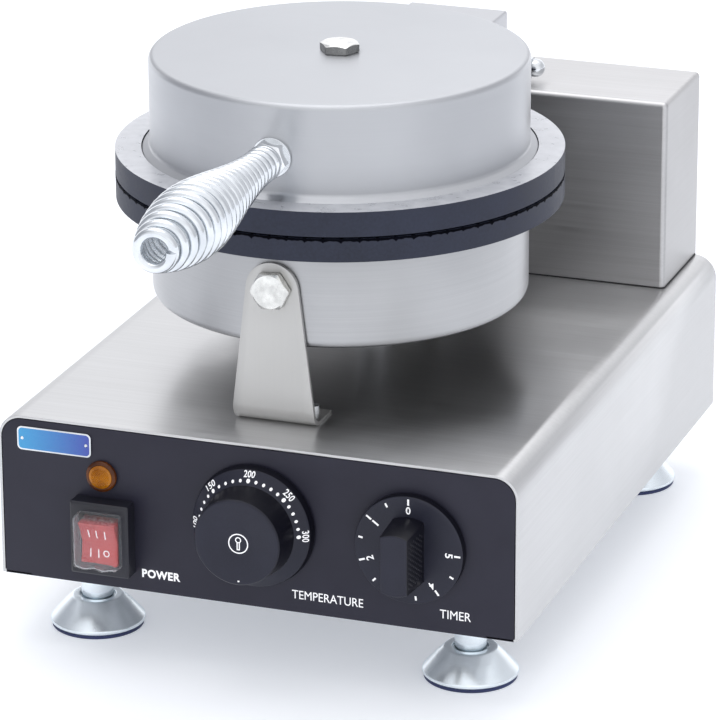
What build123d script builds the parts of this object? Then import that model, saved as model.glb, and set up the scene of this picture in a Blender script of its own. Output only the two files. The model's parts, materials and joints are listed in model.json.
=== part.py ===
from build123d import *
import os
import math

# Electric waffle cone maker: a low steel base with its controls in front, a round
# lower baking plate on two brackets, and a hinged domed lid with a coil handle.
# +Z is up, +Y runs from the control panel to the back, and the floor is Z = 0.

os.makedirs("parts", exist_ok=True)

# ---------------------------------------------------------------- dimensions, mm
gap = 0.3                 # clearance between pieces that move past each other
run_fit = 0.05            # radial clearance of a turning shaft

y_front = -109.85         # plane of the control panel
base_w = 260.0            # base across
base_d = 335.5            # base front to back
base_z0 = 35.3            # underside of the base
base_z1 = 117.0           # top of the base
sheet = 1.5               # thickness of the housing sheet
bend_r = 12.0             # outer radius of the bends along the base's top edges
flange_w = 14.0           # turned-in flange along the bottom of the sides
panel_t = 1.5             # thickness of the control panel

plate_y = y_front + 119.8  # centre of the round baking plates
plate_r = 108.1           # outer radius of both baking plates
plate_gap = 0.8           # space between the closed plates
seam_z = 216.7            # height of the middle of that space
lower_plate_z0 = 204.9    # underside of the lower plate's rim
upper_plate_z1 = 229.1    # top of the upper plate's rim
groove_pitch = 8.0        # spacing of the waffle grooves
groove_depth = 1.6        # depth of the waffle grooves
groove_w = 4.4            # width of a groove at the surface
groove_r = 101.5          # radius of the grooved field inside the plain rim
vent_count = 80           # small vents round the lower plate's rim
vent_w = 1.8
vent_depth = 0.9

pan_r = 91.2              # lower pan
pan_z0 = 155.8
pan_edge_r = 4.5
dome_r = 91.4             # lid cover
dome_z1 = 274.8
dome_edge_r = 4.0
dome_foot_r = 95.2        # flared foot of the cover
dome_seat_r = 95.5        # recess it stands in
dome_seat_depth = 2.0
skin = 1.2                # thickness of the pan, the cover and the rear box

box_w = 237.0             # rear box
box_y0 = y_front + 275.7
box_z1 = 215.7
box_bend_r = 2.5
back_y = y_front + base_d

hinge_y = y_front + 290.0  # hinge axis, along X
hinge_z = 223.6
hinge_bolt_r = 3.0
bushing_r = 5.0
arm_half = 26.3           # lid arm, half its width
arm_t = 2.0
arm_z1 = 250.0
arm_back = 7.6            # from the hinge axis to the arm's back face
arm_open_deg = 90.0
ear_x = 33.0              # inner face of a hinge ear
ear_t = 3.0
ear_r = 10.0

handle_z = 249.0          # handle axis
handle_len = 146.0        # from the cover's wall to the end of the coil
handle_wire = 4.8         # coil wire diameter
handle_nut_z = 6.5
handle_rod_r = 3.9

foot_x = 95.7             # feet
foot_y1 = y_front + 34.6
foot_y2 = y_front + 300.6
foot_r = 23.2
foot_top_r = 12.3
foot_cup_z = 15.2
foot_rim_z = 3.0
foot_pad_t = 1.6
post_r = 7.8

switch_x = -75.6          # power switch
switch_z = 62.2
lamp_x = -77.0            # indicator lamp
lamp_z = 91.5
temp_x = 0.6              # temperature knob
temp_z = 77.3
timer_x = 78.5            # timer knob
timer_z = 76.8
badge_x = -101.0          # blank name plate
badge_z = 106.0

bracket_w = 40.6          # sheet bracket at its foot
bracket_top_r = 13.0
bracket_bolt_z = 184.9
bracket_t = 2.0
bracket_bend_r = 9.0      # outer bend between bracket and foot
bracket_foot = 24.0       # depth of the bracket, bend and foot together

vent_pitch = 8.0


def hexagon(flats):
    """Hexagon of the given width across flats."""
    return RegularPolygon(radius=flats / 2, side_count=6, major_radius=False)


def front_plane(depth):
    """Plane parallel to the control panel, facing the user, depth behind it."""
    return Plane.XZ.offset(-(y_front + depth))


def save(piece, name):
    """Name a finished piece and write it."""
    piece.part.label = name
    export_step(piece.part, "parts/" + name + ".step")


# ================================================================ base housing
inner_w = base_w - 2 * sheet
base_h = base_z1 - base_z0
flange_x = inner_w / 2 - flange_w / 2
cover_screw_points = [
    (side * flange_x, y_front + depth) for side in (-1, 1) for depth in (70, 167.75, 265)
]
with BuildPart() as base_shell:
    with BuildSketch(front_plane(0)):
        with Locations((0, base_z0 + base_h / 2)):
            outer = Rectangle(base_w, base_h)
        fillet(outer.vertices().sort_by(Axis.Y)[-2:], bend_r)
    extrude(amount=-base_d)
    with BuildSketch(front_plane(0)):
        with Locations((0, base_z0 + (base_h - sheet) / 2)):
            inner = Rectangle(inner_w, base_h - sheet)
        fillet(inner.vertices().sort_by(Axis.Y)[-2:], bend_r - sheet)
    extrude(amount=-base_d, mode=Mode.SUBTRACT)
    # turned-in flanges along the bottom, with the cover's screw holes
    with BuildSketch(Plane.XY.offset(base_z0)):
        with Locations(*[(side * flange_x, y_front + base_d / 2) for side in (-1, 1)]):
            Rectangle(flange_w, base_d - 2 * (panel_t + gap))
        with Locations(*cover_screw_points):
            Circle(1.7, mode=Mode.SUBTRACT)
    extrude(amount=sheet)
    # cable hole up to the pan, and the way up into the rear box
    with BuildSketch(Plane.XY.offset(base_z1)):
        with Locations((0, plate_y + 45)):
            Circle(9)
        with Locations((0, box_y0 + 30)):
            Rectangle(150, 36)
        with Locations((-14, y_front + 44), (14, y_front + 44)):
            Circle(2.6)
        with Locations((-14, y_front + 195.6), (14, y_front + 195.6)):
            Circle(2.6)
    extrude(amount=-4, mode=Mode.SUBTRACT)
save(base_shell, "base_shell")

# Control panel: black plate standing in the mouth of the housing
panel_w = base_w - 2 * sheet - 2 * gap
panel_h = base_h - sheet - gap
panel_zc = base_z0 + panel_h / 2
control_hole_r = 5.2
lamp_hole_r = 6.2
switch_cut = (22.0, 29.0)
with BuildPart() as front_panel:
    with BuildSketch(front_plane(0)):
        with Locations((0, panel_zc)):
            plate = Rectangle(panel_w, panel_h)
        fillet(plate.vertices().sort_by(Axis.Y)[-2:], bend_r - sheet - gap)
        with Locations((temp_x, temp_z), (timer_x, timer_z)):
            Circle(control_hole_r, mode=Mode.SUBTRACT)
        with Locations((lamp_x, lamp_z)):
            Circle(lamp_hole_r, mode=Mode.SUBTRACT)
        with Locations((switch_x, switch_z)):
            Rectangle(*switch_cut, mode=Mode.SUBTRACT)
    extrude(amount=-panel_t)
save(front_panel, "front_panel")

# Name plate: plain rectangular plate with rounded corners
with BuildPart() as name_plate:
    with BuildSketch(front_plane(0)):
        with Locations((badge_x, badge_z)):
            RectangleRounded(38, 12, 2)
    extrude(amount=0.8)
    fillet(name_plate.faces().sort_by(Axis.Y)[0].edges(), 0.3)
save(name_plate, "name_plate")

# Bottom cover, lying on the side flanges, with cooling slots and holes for the feet
cover_z0 = base_z0 + sheet
cover_w = inner_w - 2 * gap
cover_d = base_d - 2 * panel_t - 4 * gap
cover_t = 1.2
foot_points = [(sx * foot_x, fy) for sx in (-1, 1) for fy in (foot_y1, foot_y2)]
with BuildPart() as bottom_cover:
    with BuildSketch(Plane.XY.offset(cover_z0)):
        with Locations((0, y_front + base_d / 2)):
            Rectangle(cover_w, cover_d)
        with Locations((0, y_front + base_d / 2)):
            with GridLocations(vent_pitch, 90, 9, 2):
                SlotOverall(40, 3.5, rotation=90, mode=Mode.SUBTRACT)
        with Locations(*foot_points):
            Circle(4.2, mode=Mode.SUBTRACT)
        with Locations(*cover_screw_points):
            Circle(1.7, mode=Mode.SUBTRACT)
    extrude(amount=cover_t)
save(bottom_cover, "bottom_cover")

# Self-tapping screws of the bottom cover, driven from below through the flanges
with BuildPart() as bottom_screws:
    with Locations(*[(sx, sy, base_z0) for sx, sy in cover_screw_points]):
        Cylinder(3.2, 1.8, align=(Align.CENTER, Align.CENTER, Align.MAX))
        Cylinder(1.65, 7, align=(Align.CENTER, Align.CENTER, Align.MIN))
save(bottom_screws, "bottom_screws")

# Rear panel of the base with louvre slots and the cable entry
gland_x = -85.0
gland_z = 62.0
gland_r = 8.0
rear_screw_points = [(sx * 112, sz) for sx in (-1, 1) for sz in (base_z0 + 10, base_z0 + 66)]
with BuildPart() as rear_panel:
    with BuildSketch(front_plane(base_d - panel_t)):
        with Locations((0, panel_zc)):
            plate = Rectangle(panel_w, panel_h)
        fillet(plate.vertices().sort_by(Axis.Y)[-2:], bend_r - sheet - gap)
        with Locations((30, panel_zc)):
            with GridLocations(vent_pitch, 10, 12, 1):
                SlotOverall(44, 3.5, rotation=90, mode=Mode.SUBTRACT)
        with Locations((gland_x, gland_z)):
            Circle(gland_r + 0.2, mode=Mode.SUBTRACT)
        with Locations(*rear_screw_points):
            Circle(2.1, mode=Mode.SUBTRACT)
    extrude(amount=-panel_t)
save(rear_panel, "rear_panel")

# Cable gland, empty: threaded body through the rear panel, dome nut outside
with BuildPart() as cable_gland:
    with BuildSketch(front_plane(base_d)):
        with Locations((gland_x, gland_z)):
            hexagon(22)
    extrude(amount=-1.8)
    with BuildSketch(front_plane(base_d - 12)):
        with Locations((gland_x, gland_z)):
            Circle(gland_r)
    extrude(amount=-12)
    with BuildSketch(front_plane(base_d - 12)):
        with Locations((gland_x, gland_z)):
            Circle(4.2)
    extrude(amount=-20, mode=Mode.SUBTRACT)
save(cable_gland, "cable_gland")

with BuildPart() as gland_nut:
    with BuildSketch(front_plane(base_d - panel_t)):
        with Locations((gland_x, gland_z)):
            hexagon(22)
            Circle(gland_r + 0.1, mode=Mode.SUBTRACT)
    extrude(amount=5)
save(gland_nut, "gland_nut")

# ========================================================================= feet
with BuildPart() as foot_pads:
    with BuildSketch(Plane.XY):
        with Locations(*foot_points):
            Circle(foot_r - 0.8)
    extrude(amount=foot_pad_t)
save(foot_pads, "foot_pads")

# Bell-shaped cups with a small well in the top, around the post
with BuildPart() as foot_cups:
    with BuildSketch(Plane.XZ) as bell:
        with BuildLine():
            Polyline(
                (0, foot_pad_t),
                (foot_r - 1.2, foot_pad_t),
                (foot_r, foot_pad_t + 0.9),
                (foot_r, foot_rim_z + 0.6),
                (foot_top_r + 0.5, foot_cup_z - 0.6),
                (foot_top_r - 0.6, foot_cup_z),
                (post_r + 1.0, foot_cup_z),
                (post_r + 1.0, foot_cup_z - 1.5),
                (0, foot_cup_z - 1.5),
                close=True,
            )
        make_face()
    cup = revolve(axis=Axis.Z, mode=Mode.PRIVATE)
    with Locations(*[(fx, fy, 0) for fx, fy in foot_points]):
        add(cup)
save(foot_cups, "foot_cups")

# Smooth posts that stop at the bottom cover, with a threaded end through it
post_z0 = foot_cup_z - 1.5
with BuildPart() as foot_posts:
    with Locations(*[(fx, fy, post_z0) for fx, fy in foot_points]):
        Cylinder(post_r, cover_z0 - post_z0, align=(Align.CENTER, Align.CENTER, Align.MIN))
        Cylinder(4.0, cover_z0 - post_z0 + 11, align=(Align.CENTER, Align.CENTER, Align.MIN))
save(foot_posts, "foot_posts")

# Nut above the cover on each post
with BuildPart() as foot_nuts:
    with BuildSketch(Plane.XY.offset(cover_z0 + cover_t)):
        with Locations(*foot_points):
            hexagon(13)
            Circle(4.1, mode=Mode.SUBTRACT)
    extrude(amount=6.5)
save(foot_nuts, "foot_nuts")

# ================================================================ power switch
switch_w = 29.6
switch_h = 36.5
switch_proud = 9.0
rocker_w = 19.0
rocker_h = 23.0
rocker_tilt = 6.0
rocker_axis_d = 2.0
well_w = rocker_w + 2 * gap
well_h = rocker_h + 2.4
with BuildPart() as switch_housing:
    with BuildSketch(front_plane(0)):
        with Locations((switch_x, switch_z)):
            Rectangle(switch_w, switch_h)
    extrude(amount=switch_proud)
    chamfer(switch_housing.faces().sort_by(Axis.Y)[0].edges(), 0.8)
    with BuildSketch(front_plane(0)):
        with Locations((switch_x, switch_z)):
            Rectangle(switch_cut[0] - 0.4, switch_cut[1] - 0.4)
    extrude(amount=-22)
    with BuildSketch(front_plane(-switch_proud)):
        with Locations((switch_x, switch_z)):
            Rectangle(well_w, well_h)
    extrude(amount=-22, mode=Mode.SUBTRACT)
    # pivot pins for the rocker
    with BuildSketch(Plane.YZ.offset(switch_x - well_w / 2)):
        with Locations((y_front + rocker_axis_d, switch_z)):
            Circle(1.5)
    extrude(amount=3)
    with BuildSketch(Plane.YZ.offset(switch_x + well_w / 2)):
        with Locations((y_front + rocker_axis_d, switch_z)):
            Circle(1.5)
    extrude(amount=-3)
    # spade terminals
    with BuildSketch(front_plane(22)):
        with Locations((switch_x, switch_z)):
            with GridLocations(10, 10, 2, 2):
                Rectangle(0.8, 6.3)
    extrude(amount=-9)
save(switch_housing, "switch_housing")

# Rocker, a shallow V with the lower half pressed in at rest, which is off
rocker_front = 11.4
rocker_axis = Axis((switch_x, y_front + rocker_axis_d, switch_z), (1, 0, 0))
with BuildPart() as switch_rocker:
    with BuildSketch(Plane.YZ.offset(switch_x - rocker_w / 2)):
        with BuildLine():
            Polyline(
                (y_front - rocker_front, switch_z + rocker_h / 2 - 0.6),
                (y_front - rocker_front + 2.2, switch_z),
                (y_front - rocker_front, switch_z - rocker_h / 2 + 0.6),
                (y_front - 2.0, switch_z - rocker_h / 2 + 1.2),
                (y_front + 5.0, switch_z - 4.0),
                (y_front + 5.0, switch_z + 4.0),
                (y_front - 2.0, switch_z + rocker_h / 2 - 1.2),
                close=True,
            )
        make_face()
        with Locations((y_front + rocker_axis_d, switch_z)):
            Circle(1.5 + run_fit, mode=Mode.SUBTRACT)
    extrude(amount=rocker_w)
switch_rocker.part = switch_rocker.part.rotate(rocker_axis, rocker_tilt)
save(switch_rocker, "switch_rocker")

# Clear splash boot over the rocker: a thin moulded box with an open back
boot_w = 22.4
boot_h = 27.4
boot_t = 0.7
boot_proud = 17.0
with BuildPart() as switch_boot:
    with BuildSketch(front_plane(-switch_proud)):
        with Locations((switch_x + 0.6, switch_z + 0.4)):
            Rectangle(boot_w, boot_h)
    extrude(amount=boot_proud - switch_proud)
    fillet(switch_boot.edges().filter_by(Axis.Y), 1.2)
    fillet(switch_boot.faces().sort_by(Axis.Y)[0].edges(), 0.6)
    with BuildSketch(front_plane(-switch_proud)):
        with Locations((switch_x + 0.6, switch_z + 0.4)):
            Rectangle(boot_w - 2 * boot_t, boot_h - 2 * boot_t)
    extrude(amount=boot_proud - switch_proud - boot_t, mode=Mode.SUBTRACT)
save(switch_boot, "switch_boot")

# =============================================================== indicator lamp
lamp_r = 7.7
with BuildPart() as lamp_body:
    with BuildSketch(front_plane(0)):
        with Locations((lamp_x, lamp_z)):
            Circle(lamp_r)
    extrude(amount=1.4)
    fillet(lamp_body.faces().sort_by(Axis.Y)[0].edges(), 0.5)
    with BuildSketch(front_plane(0)):
        with Locations((lamp_x, lamp_z)):
            Circle(lamp_hole_r - 0.1)
    extrude(amount=-20)
    with BuildSketch(front_plane(-1.4)):
        with Locations((lamp_x, lamp_z)):
            Circle(5.4)
    extrude(amount=-18, mode=Mode.SUBTRACT)
    with BuildSketch(front_plane(20)):
        with Locations((lamp_x, lamp_z)):
            with GridLocations(6, 1, 2, 1):
                Rectangle(0.8, 4.8)
    extrude(amount=-8)
save(lamp_body, "lamp_body")

# Domed amber lens that fills the lamp body and covers its rim
with BuildPart() as lamp_lens:
    with BuildSketch(Plane.YZ.offset(lamp_x)):
        with BuildLine():
            Polyline(
                (y_front + 8, lamp_z),
                (y_front + 8, lamp_z + 5.3),
                (y_front - 1.4, lamp_z + 5.3),
                (y_front - 1.4, lamp_z + 6.6),
                (y_front - 2.4, lamp_z + 6.4),
            )
            ThreePointArc(
                (y_front - 2.4, lamp_z + 6.4),
                (y_front - 3.3, lamp_z + 3.6),
                (y_front - 3.6, lamp_z + 0.4),
            )
            Polyline(
                (y_front - 3.6, lamp_z + 0.4),
                (y_front - 3.6, lamp_z),
                (y_front + 8, lamp_z),
            )
        make_face()
    revolve(axis=Axis((lamp_x, y_front, lamp_z), (0, 1, 0)))
save(lamp_lens, "lamp_lens")


# =================================================== thermostat and timer behind
def control_body(x, z, width, height, depth, shaft_r, shaft_len):
    """Control body with a threaded neck, a bore for the shaft and spade terminals."""
    with BuildPart() as body:
        with BuildSketch(front_plane(panel_t)):
            with Locations((x, z)):
                Circle(9)
        extrude(amount=-4)
        with BuildSketch(front_plane(panel_t + 4)):
            with Locations((x, z)):
                RectangleRounded(width, height, 3)
        extrude(amount=-depth)
        with BuildSketch(front_plane(panel_t)):
            with Locations((x, z)):
                Circle(control_hole_r - 0.2)
        extrude(amount=panel_t)
        with BuildSketch(front_plane(-1)):
            with Locations((x, z)):
                Circle(shaft_r + run_fit)
        extrude(amount=-(shaft_len + 1), mode=Mode.SUBTRACT)
        with BuildSketch(front_plane(panel_t + 4 + depth)):
            with Locations((x, z)):
                with GridLocations(16, 12, 2, 2):
                    Rectangle(0.8, 6.3)
        extrude(amount=-9)
    return body


def control_shaft(x, z, shaft_r, shaft_len, proud):
    """Shaft with a flat on the part that carries the knob."""
    with BuildPart() as shaft:
        with BuildSketch(front_plane(shaft_len - gap)):
            with Locations((x, z)):
                Circle(shaft_r)
        extrude(amount=shaft_len - gap + proud)
        with BuildSketch(front_plane(-proud)):
            with Locations((x, z + shaft_r)):
                Rectangle(shaft_r * 2, shaft_r)
        extrude(amount=-(proud - 4), mode=Mode.SUBTRACT)
    return shaft


thermo_shaft_r = 3.0
shaft_len = 16.0
shaft_proud = 16.0
thermostat_body = control_body(temp_x, temp_z, 42, 38, 30, thermo_shaft_r, shaft_len)
save(thermostat_body, "thermostat_body")

temperature_shaft = control_shaft(temp_x, temp_z, thermo_shaft_r, shaft_len, shaft_proud)
save(temperature_shaft, "temperature_shaft")

timer_body = control_body(timer_x, timer_z, 50, 52, 34, thermo_shaft_r, shaft_len)
save(timer_body, "timer_body")

timer_shaft = control_shaft(timer_x, timer_z, thermo_shaft_r, shaft_len, shaft_proud)
save(timer_shaft, "timer_shaft")

# Temperature knob: flared dial skirt, tapered grip and a dished face
dial_r = 29.4
grip_r0 = 22.8
grip_r1 = 21.2
knob_back = 0.8
knob_front = 25.0
dial_out = 6.0
with BuildPart() as temperature_knob:
    with BuildSketch(Plane.YZ.offset(temp_x)):
        with BuildLine():
            Polyline(
                (y_front - knob_back - 3.0, temp_z),
                (y_front - knob_back - 3.0, temp_z + 19.5),
                (y_front - knob_back, temp_z + 21.0),
                (y_front - knob_back, temp_z + dial_r - 0.8),
                (y_front - knob_back - 0.8, temp_z + dial_r),
                (y_front - dial_out + 0.7, temp_z + dial_r),
                (y_front - dial_out, temp_z + dial_r - 0.7),
                (y_front - dial_out - 4.0, temp_z + grip_r0),
                (y_front - knob_front + 1.5, temp_z + grip_r1),
            )
            ThreePointArc(
                (y_front - knob_front + 1.5, temp_z + grip_r1),
                (y_front - knob_front + 0.45, temp_z + grip_r1 - 0.4),
                (y_front - knob_front, temp_z + grip_r1 - 1.5),
            )
            ThreePointArc(
                (y_front - knob_front, temp_z + grip_r1 - 1.5),
                (y_front - knob_front + 1.1, temp_z + 10.0),
                (y_front - knob_front + 1.5, temp_z + 0.5),
            )
            Polyline(
                (y_front - knob_front + 1.5, temp_z + 0.5),
                (y_front - knob_front + 1.5, temp_z),
                (y_front - knob_back - 3.0, temp_z),
            )
        make_face()
    revolve(axis=Axis((temp_x, y_front, temp_z), (0, 1, 0)))
    # blind hole for the shaft
    with BuildSketch(front_plane(-knob_back)):
        with Locations((temp_x, temp_z)):
            Circle(thermo_shaft_r + 0.02)
            with Locations((0, thermo_shaft_r)):
                Rectangle(thermo_shaft_r * 2, thermo_shaft_r, mode=Mode.SUBTRACT)
    extrude(amount=shaft_proud - knob_back + 0.1, mode=Mode.SUBTRACT)
    with BuildSketch(front_plane(-knob_back)):
        with Locations((temp_x, temp_z)):
            Circle(thermo_shaft_r + 0.02)
    extrude(amount=4.2, mode=Mode.SUBTRACT)
save(temperature_knob, "temperature_knob")

# Timer knob: flat disc with an upright grip bar
disc_r = 26.6
bar_w = 13.0
bar_r = 15.0
bar_front = 27.0
with BuildPart() as timer_knob:
    with BuildSketch(front_plane(-knob_back)):
        with Locations((timer_x, timer_z)):
            Circle(disc_r)
    extrude(amount=dial_out - knob_back)
    fillet(timer_knob.faces().sort_by(Axis.Y)[0].edges(), 0.7)
    with BuildSketch(front_plane(-dial_out)):
        with Locations((timer_x, timer_z)):
            Circle(bar_r + 1.6)
            Rectangle(bar_w + 2.4, 2 * bar_r + 4, mode=Mode.INTERSECT)
    extrude(amount=bar_front - dial_out, taper=3)
    fillet(timer_knob.faces().sort_by(Axis.Y)[0].edges(), 0.8)
    # blind hole for the shaft
    with BuildSketch(front_plane(-knob_back)):
        with Locations((timer_x, timer_z)):
            Circle(thermo_shaft_r + 0.02)
            with Locations((0, thermo_shaft_r)):
                Rectangle(thermo_shaft_r * 2, thermo_shaft_r, mode=Mode.SUBTRACT)
    extrude(amount=shaft_proud - knob_back + 0.1, mode=Mode.SUBTRACT)
    with BuildSketch(front_plane(-knob_back)):
        with Locations((timer_x, timer_z)):
            Circle(thermo_shaft_r + 0.02)
    extrude(amount=4.2, mode=Mode.SUBTRACT)
save(timer_knob, "timer_knob")

# Terminal block on the bottom cover, near the cable entry
with BuildPart() as terminal_block:
    with Locations((gland_x, y_front + 270, cover_z0 + cover_t)):
        Box(44, 20, 16, align=(Align.CENTER, Align.CENTER, Align.MIN))
    fillet(terminal_block.edges().filter_by(Axis.Z), 2)
    with Locations((gland_x, y_front + 270, cover_z0 + cover_t + 16)):
        with GridLocations(12, 10, 3, 2):
            Cylinder(3, 5, align=(Align.CENTER, Align.CENTER, Align.MAX), mode=Mode.SUBTRACT)
save(terminal_block, "terminal_block")

# ===================================================================== rear box
box_w_in = box_w - 2 * skin
box_d = back_y - box_y0
box_h = box_z1 - base_z1
slot_w = ear_t + 0.8
slot_d = 2 * ear_r + 1.2
hinge_x0 = ear_x + ear_t
grommet_y = hinge_y - 6.5
box_foot_w = 10.0
with BuildPart() as rear_box:
    with Locations((0, (box_y0 + back_y) / 2, base_z1)):
        Box(box_w, box_d, box_h, align=(Align.CENTER, Align.CENTER, Align.MIN))
    top_edges = rear_box.faces().sort_by(Axis.Z)[-1].edges().sort_by(Axis.Y)[:-1]
    front_corners = rear_box.edges().filter_by(Axis.Z).sort_by(Axis.Y)[:2]
    fillet(top_edges + front_corners, box_bend_r)
    with Locations((0, (box_y0 + back_y) / 2 + skin, base_z1)):
        Box(
            box_w_in,
            box_d,
            box_h - skin,
            align=(Align.CENTER, Align.CENTER, Align.MIN),
            mode=Mode.SUBTRACT,
        )
    # foot flanges along both ends, inside the box
    for side in (-1, 1):
        with Locations((side * (box_w_in / 2 - box_foot_w / 2), (box_y0 + back_y) / 2, base_z1)):
            Box(box_foot_w, box_d - 4, skin, align=(Align.CENTER, Align.CENTER, Align.MIN))
    # slots for the two hinge ears and the hole for the lid's leads
    with BuildSketch(Plane.XY.offset(box_z1 + 1)):
        with Locations(*[(side * (ear_x + ear_t / 2), hinge_y) for side in (-1, 1)]):
            Rectangle(slot_w, slot_d)
        with Locations((0, grommet_y)):
            Circle(4.0)
    extrude(amount=-4, mode=Mode.SUBTRACT)
save(rear_box, "rear_box")

# Back cover of the rear box, with cooling slots
back_screw_points = [(sx * 106, sz) for sx in (-1, 1) for sz in (base_z1 + 18, box_z1 - 14)]
with BuildPart() as box_cover:
    with BuildSketch(front_plane(base_d - panel_t)):
        with Locations((0, base_z1 + (box_h - skin) / 2)):
            Rectangle(box_w_in - 2 * gap, box_h - skin - 2 * gap)
        with Locations((0, base_z1 + box_h / 2)):
            with GridLocations(vent_pitch, 10, 17, 1):
                SlotOverall(50, 3.5, rotation=90, mode=Mode.SUBTRACT)
        with Locations(*back_screw_points):
            Circle(2.1, mode=Mode.SUBTRACT)
    extrude(amount=-panel_t)
save(box_cover, "box_cover")

# Pan-head screws of the rear panel and of the box cover
with BuildPart() as back_screws:
    with BuildSketch(front_plane(base_d)):
        with Locations(*rear_screw_points, *back_screw_points):
            Circle(3.6)
    extrude(amount=-1.8)
    with BuildSketch(front_plane(base_d)):
        with Locations(*rear_screw_points, *back_screw_points):
            Circle(1.95)
    extrude(amount=8)
save(back_screws, "back_screws")

# ======================================================================== hinge
# Bracket under the top of the rear box; its two ears come up through the slots
bracket_z1 = box_z1 - skin
with BuildPart() as hinge_bracket:
    with Locations((0, hinge_y + 8, bracket_z1)):
        Box(100, 34, ear_t, align=(Align.CENTER, Align.CENTER, Align.MAX))
    for side in (-1, 1):
        with BuildSketch(Plane.YZ.offset(side * (ear_x + ear_t / 2) - ear_t / 2)):
            with Locations((hinge_y, hinge_z)):
                Circle(ear_r)
            with Locations((hinge_y, (hinge_z + bracket_z1 - ear_t) / 2)):
                Rectangle(2 * ear_r, hinge_z - bracket_z1 + ear_t)
            with Locations((hinge_y, hinge_z)):
                Circle(hinge_bolt_r + 0.2, mode=Mode.SUBTRACT)
        extrude(amount=ear_t)
    with BuildSketch(Plane.XY.offset(bracket_z1)):
        with Locations((0, grommet_y)):
            Circle(4.0)
    extrude(amount=-ear_t, mode=Mode.SUBTRACT)
save(hinge_bracket, "hinge_bracket")

# Flanged bushings: each turns in a side of the lid arm and spaces it from its ear
with BuildPart() as hinge_bushings:
    for side in (-1, 1):
        with BuildSketch(Plane.YZ.offset(side * ear_x)):
            with Locations((hinge_y, hinge_z)):
                Circle(7.4)
                Circle(hinge_bolt_r + 0.05, mode=Mode.SUBTRACT)
        extrude(amount=-side * (ear_x - arm_half - gap))
        with BuildSketch(Plane.YZ.offset(side * ear_x)):
            with Locations((hinge_y, hinge_z)):
                Circle(bushing_r)
                Circle(hinge_bolt_r + 0.05, mode=Mode.SUBTRACT)
        extrude(amount=-side * (ear_x - arm_half + arm_t))
save(hinge_bushings, "hinge_bushings")

with BuildPart() as hinge_washers:
    for side in (-1, 1):
        with BuildSketch(Plane.YZ.offset(side * hinge_x0)):
            with Locations((hinge_y, hinge_z)):
                Circle(6.0)
                Circle(hinge_bolt_r + 0.2, mode=Mode.SUBTRACT)
        extrude(amount=side * 1.2)
save(hinge_washers, "hinge_washers")

# M6 hinge bolt, head on the left, cap nut on the right
nut_x = hinge_x0 + 1.2
with BuildPart() as hinge_bolt:
    with BuildSketch(Plane.YZ.offset(-nut_x)):
        with Locations((hinge_y, hinge_z)):
            hexagon(10)
    extrude(amount=-4)
    with BuildSketch(Plane.YZ.offset(-nut_x)):
        with Locations((hinge_y, hinge_z)):
            Circle(hinge_bolt_r)
    extrude(amount=2 * nut_x + 7)
save(hinge_bolt, "hinge_bolt")

with BuildPart() as hinge_cap_nut:
    with BuildSketch(Plane.YZ.offset(nut_x)):
        with Locations((hinge_y, hinge_z)):
            hexagon(10)
    extrude(amount=5.5)
    with Locations((nut_x + 7.2, hinge_y, hinge_z)):
        Sphere(4.75)
    with BuildSketch(Plane.YZ.offset(nut_x)):
        with Locations((hinge_y, hinge_z)):
            Circle(hinge_bolt_r + 0.02)
    extrude(amount=8.5, mode=Mode.SUBTRACT)
save(hinge_cap_nut, "hinge_cap_nut")

# Rubber grommet where the lid's leads leave the rear box
with BuildPart() as lead_grommet:
    with BuildSketch(Plane.XY.offset(box_z1)):
        with Locations((0, grommet_y)):
            Circle(5.0)
    extrude(amount=0.7)
    with BuildSketch(Plane.XY.offset(box_z1)):
        with Locations((0, grommet_y)):
            Circle(3.9)
    extrude(amount=-skin - ear_t)
    with BuildSketch(Plane.XY.offset(box_z1 + 1)):
        with Locations((0, grommet_y)):
            Circle(2.6)
    extrude(amount=-10, mode=Mode.SUBTRACT)
save(lead_grommet, "lead_grommet")

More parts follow.
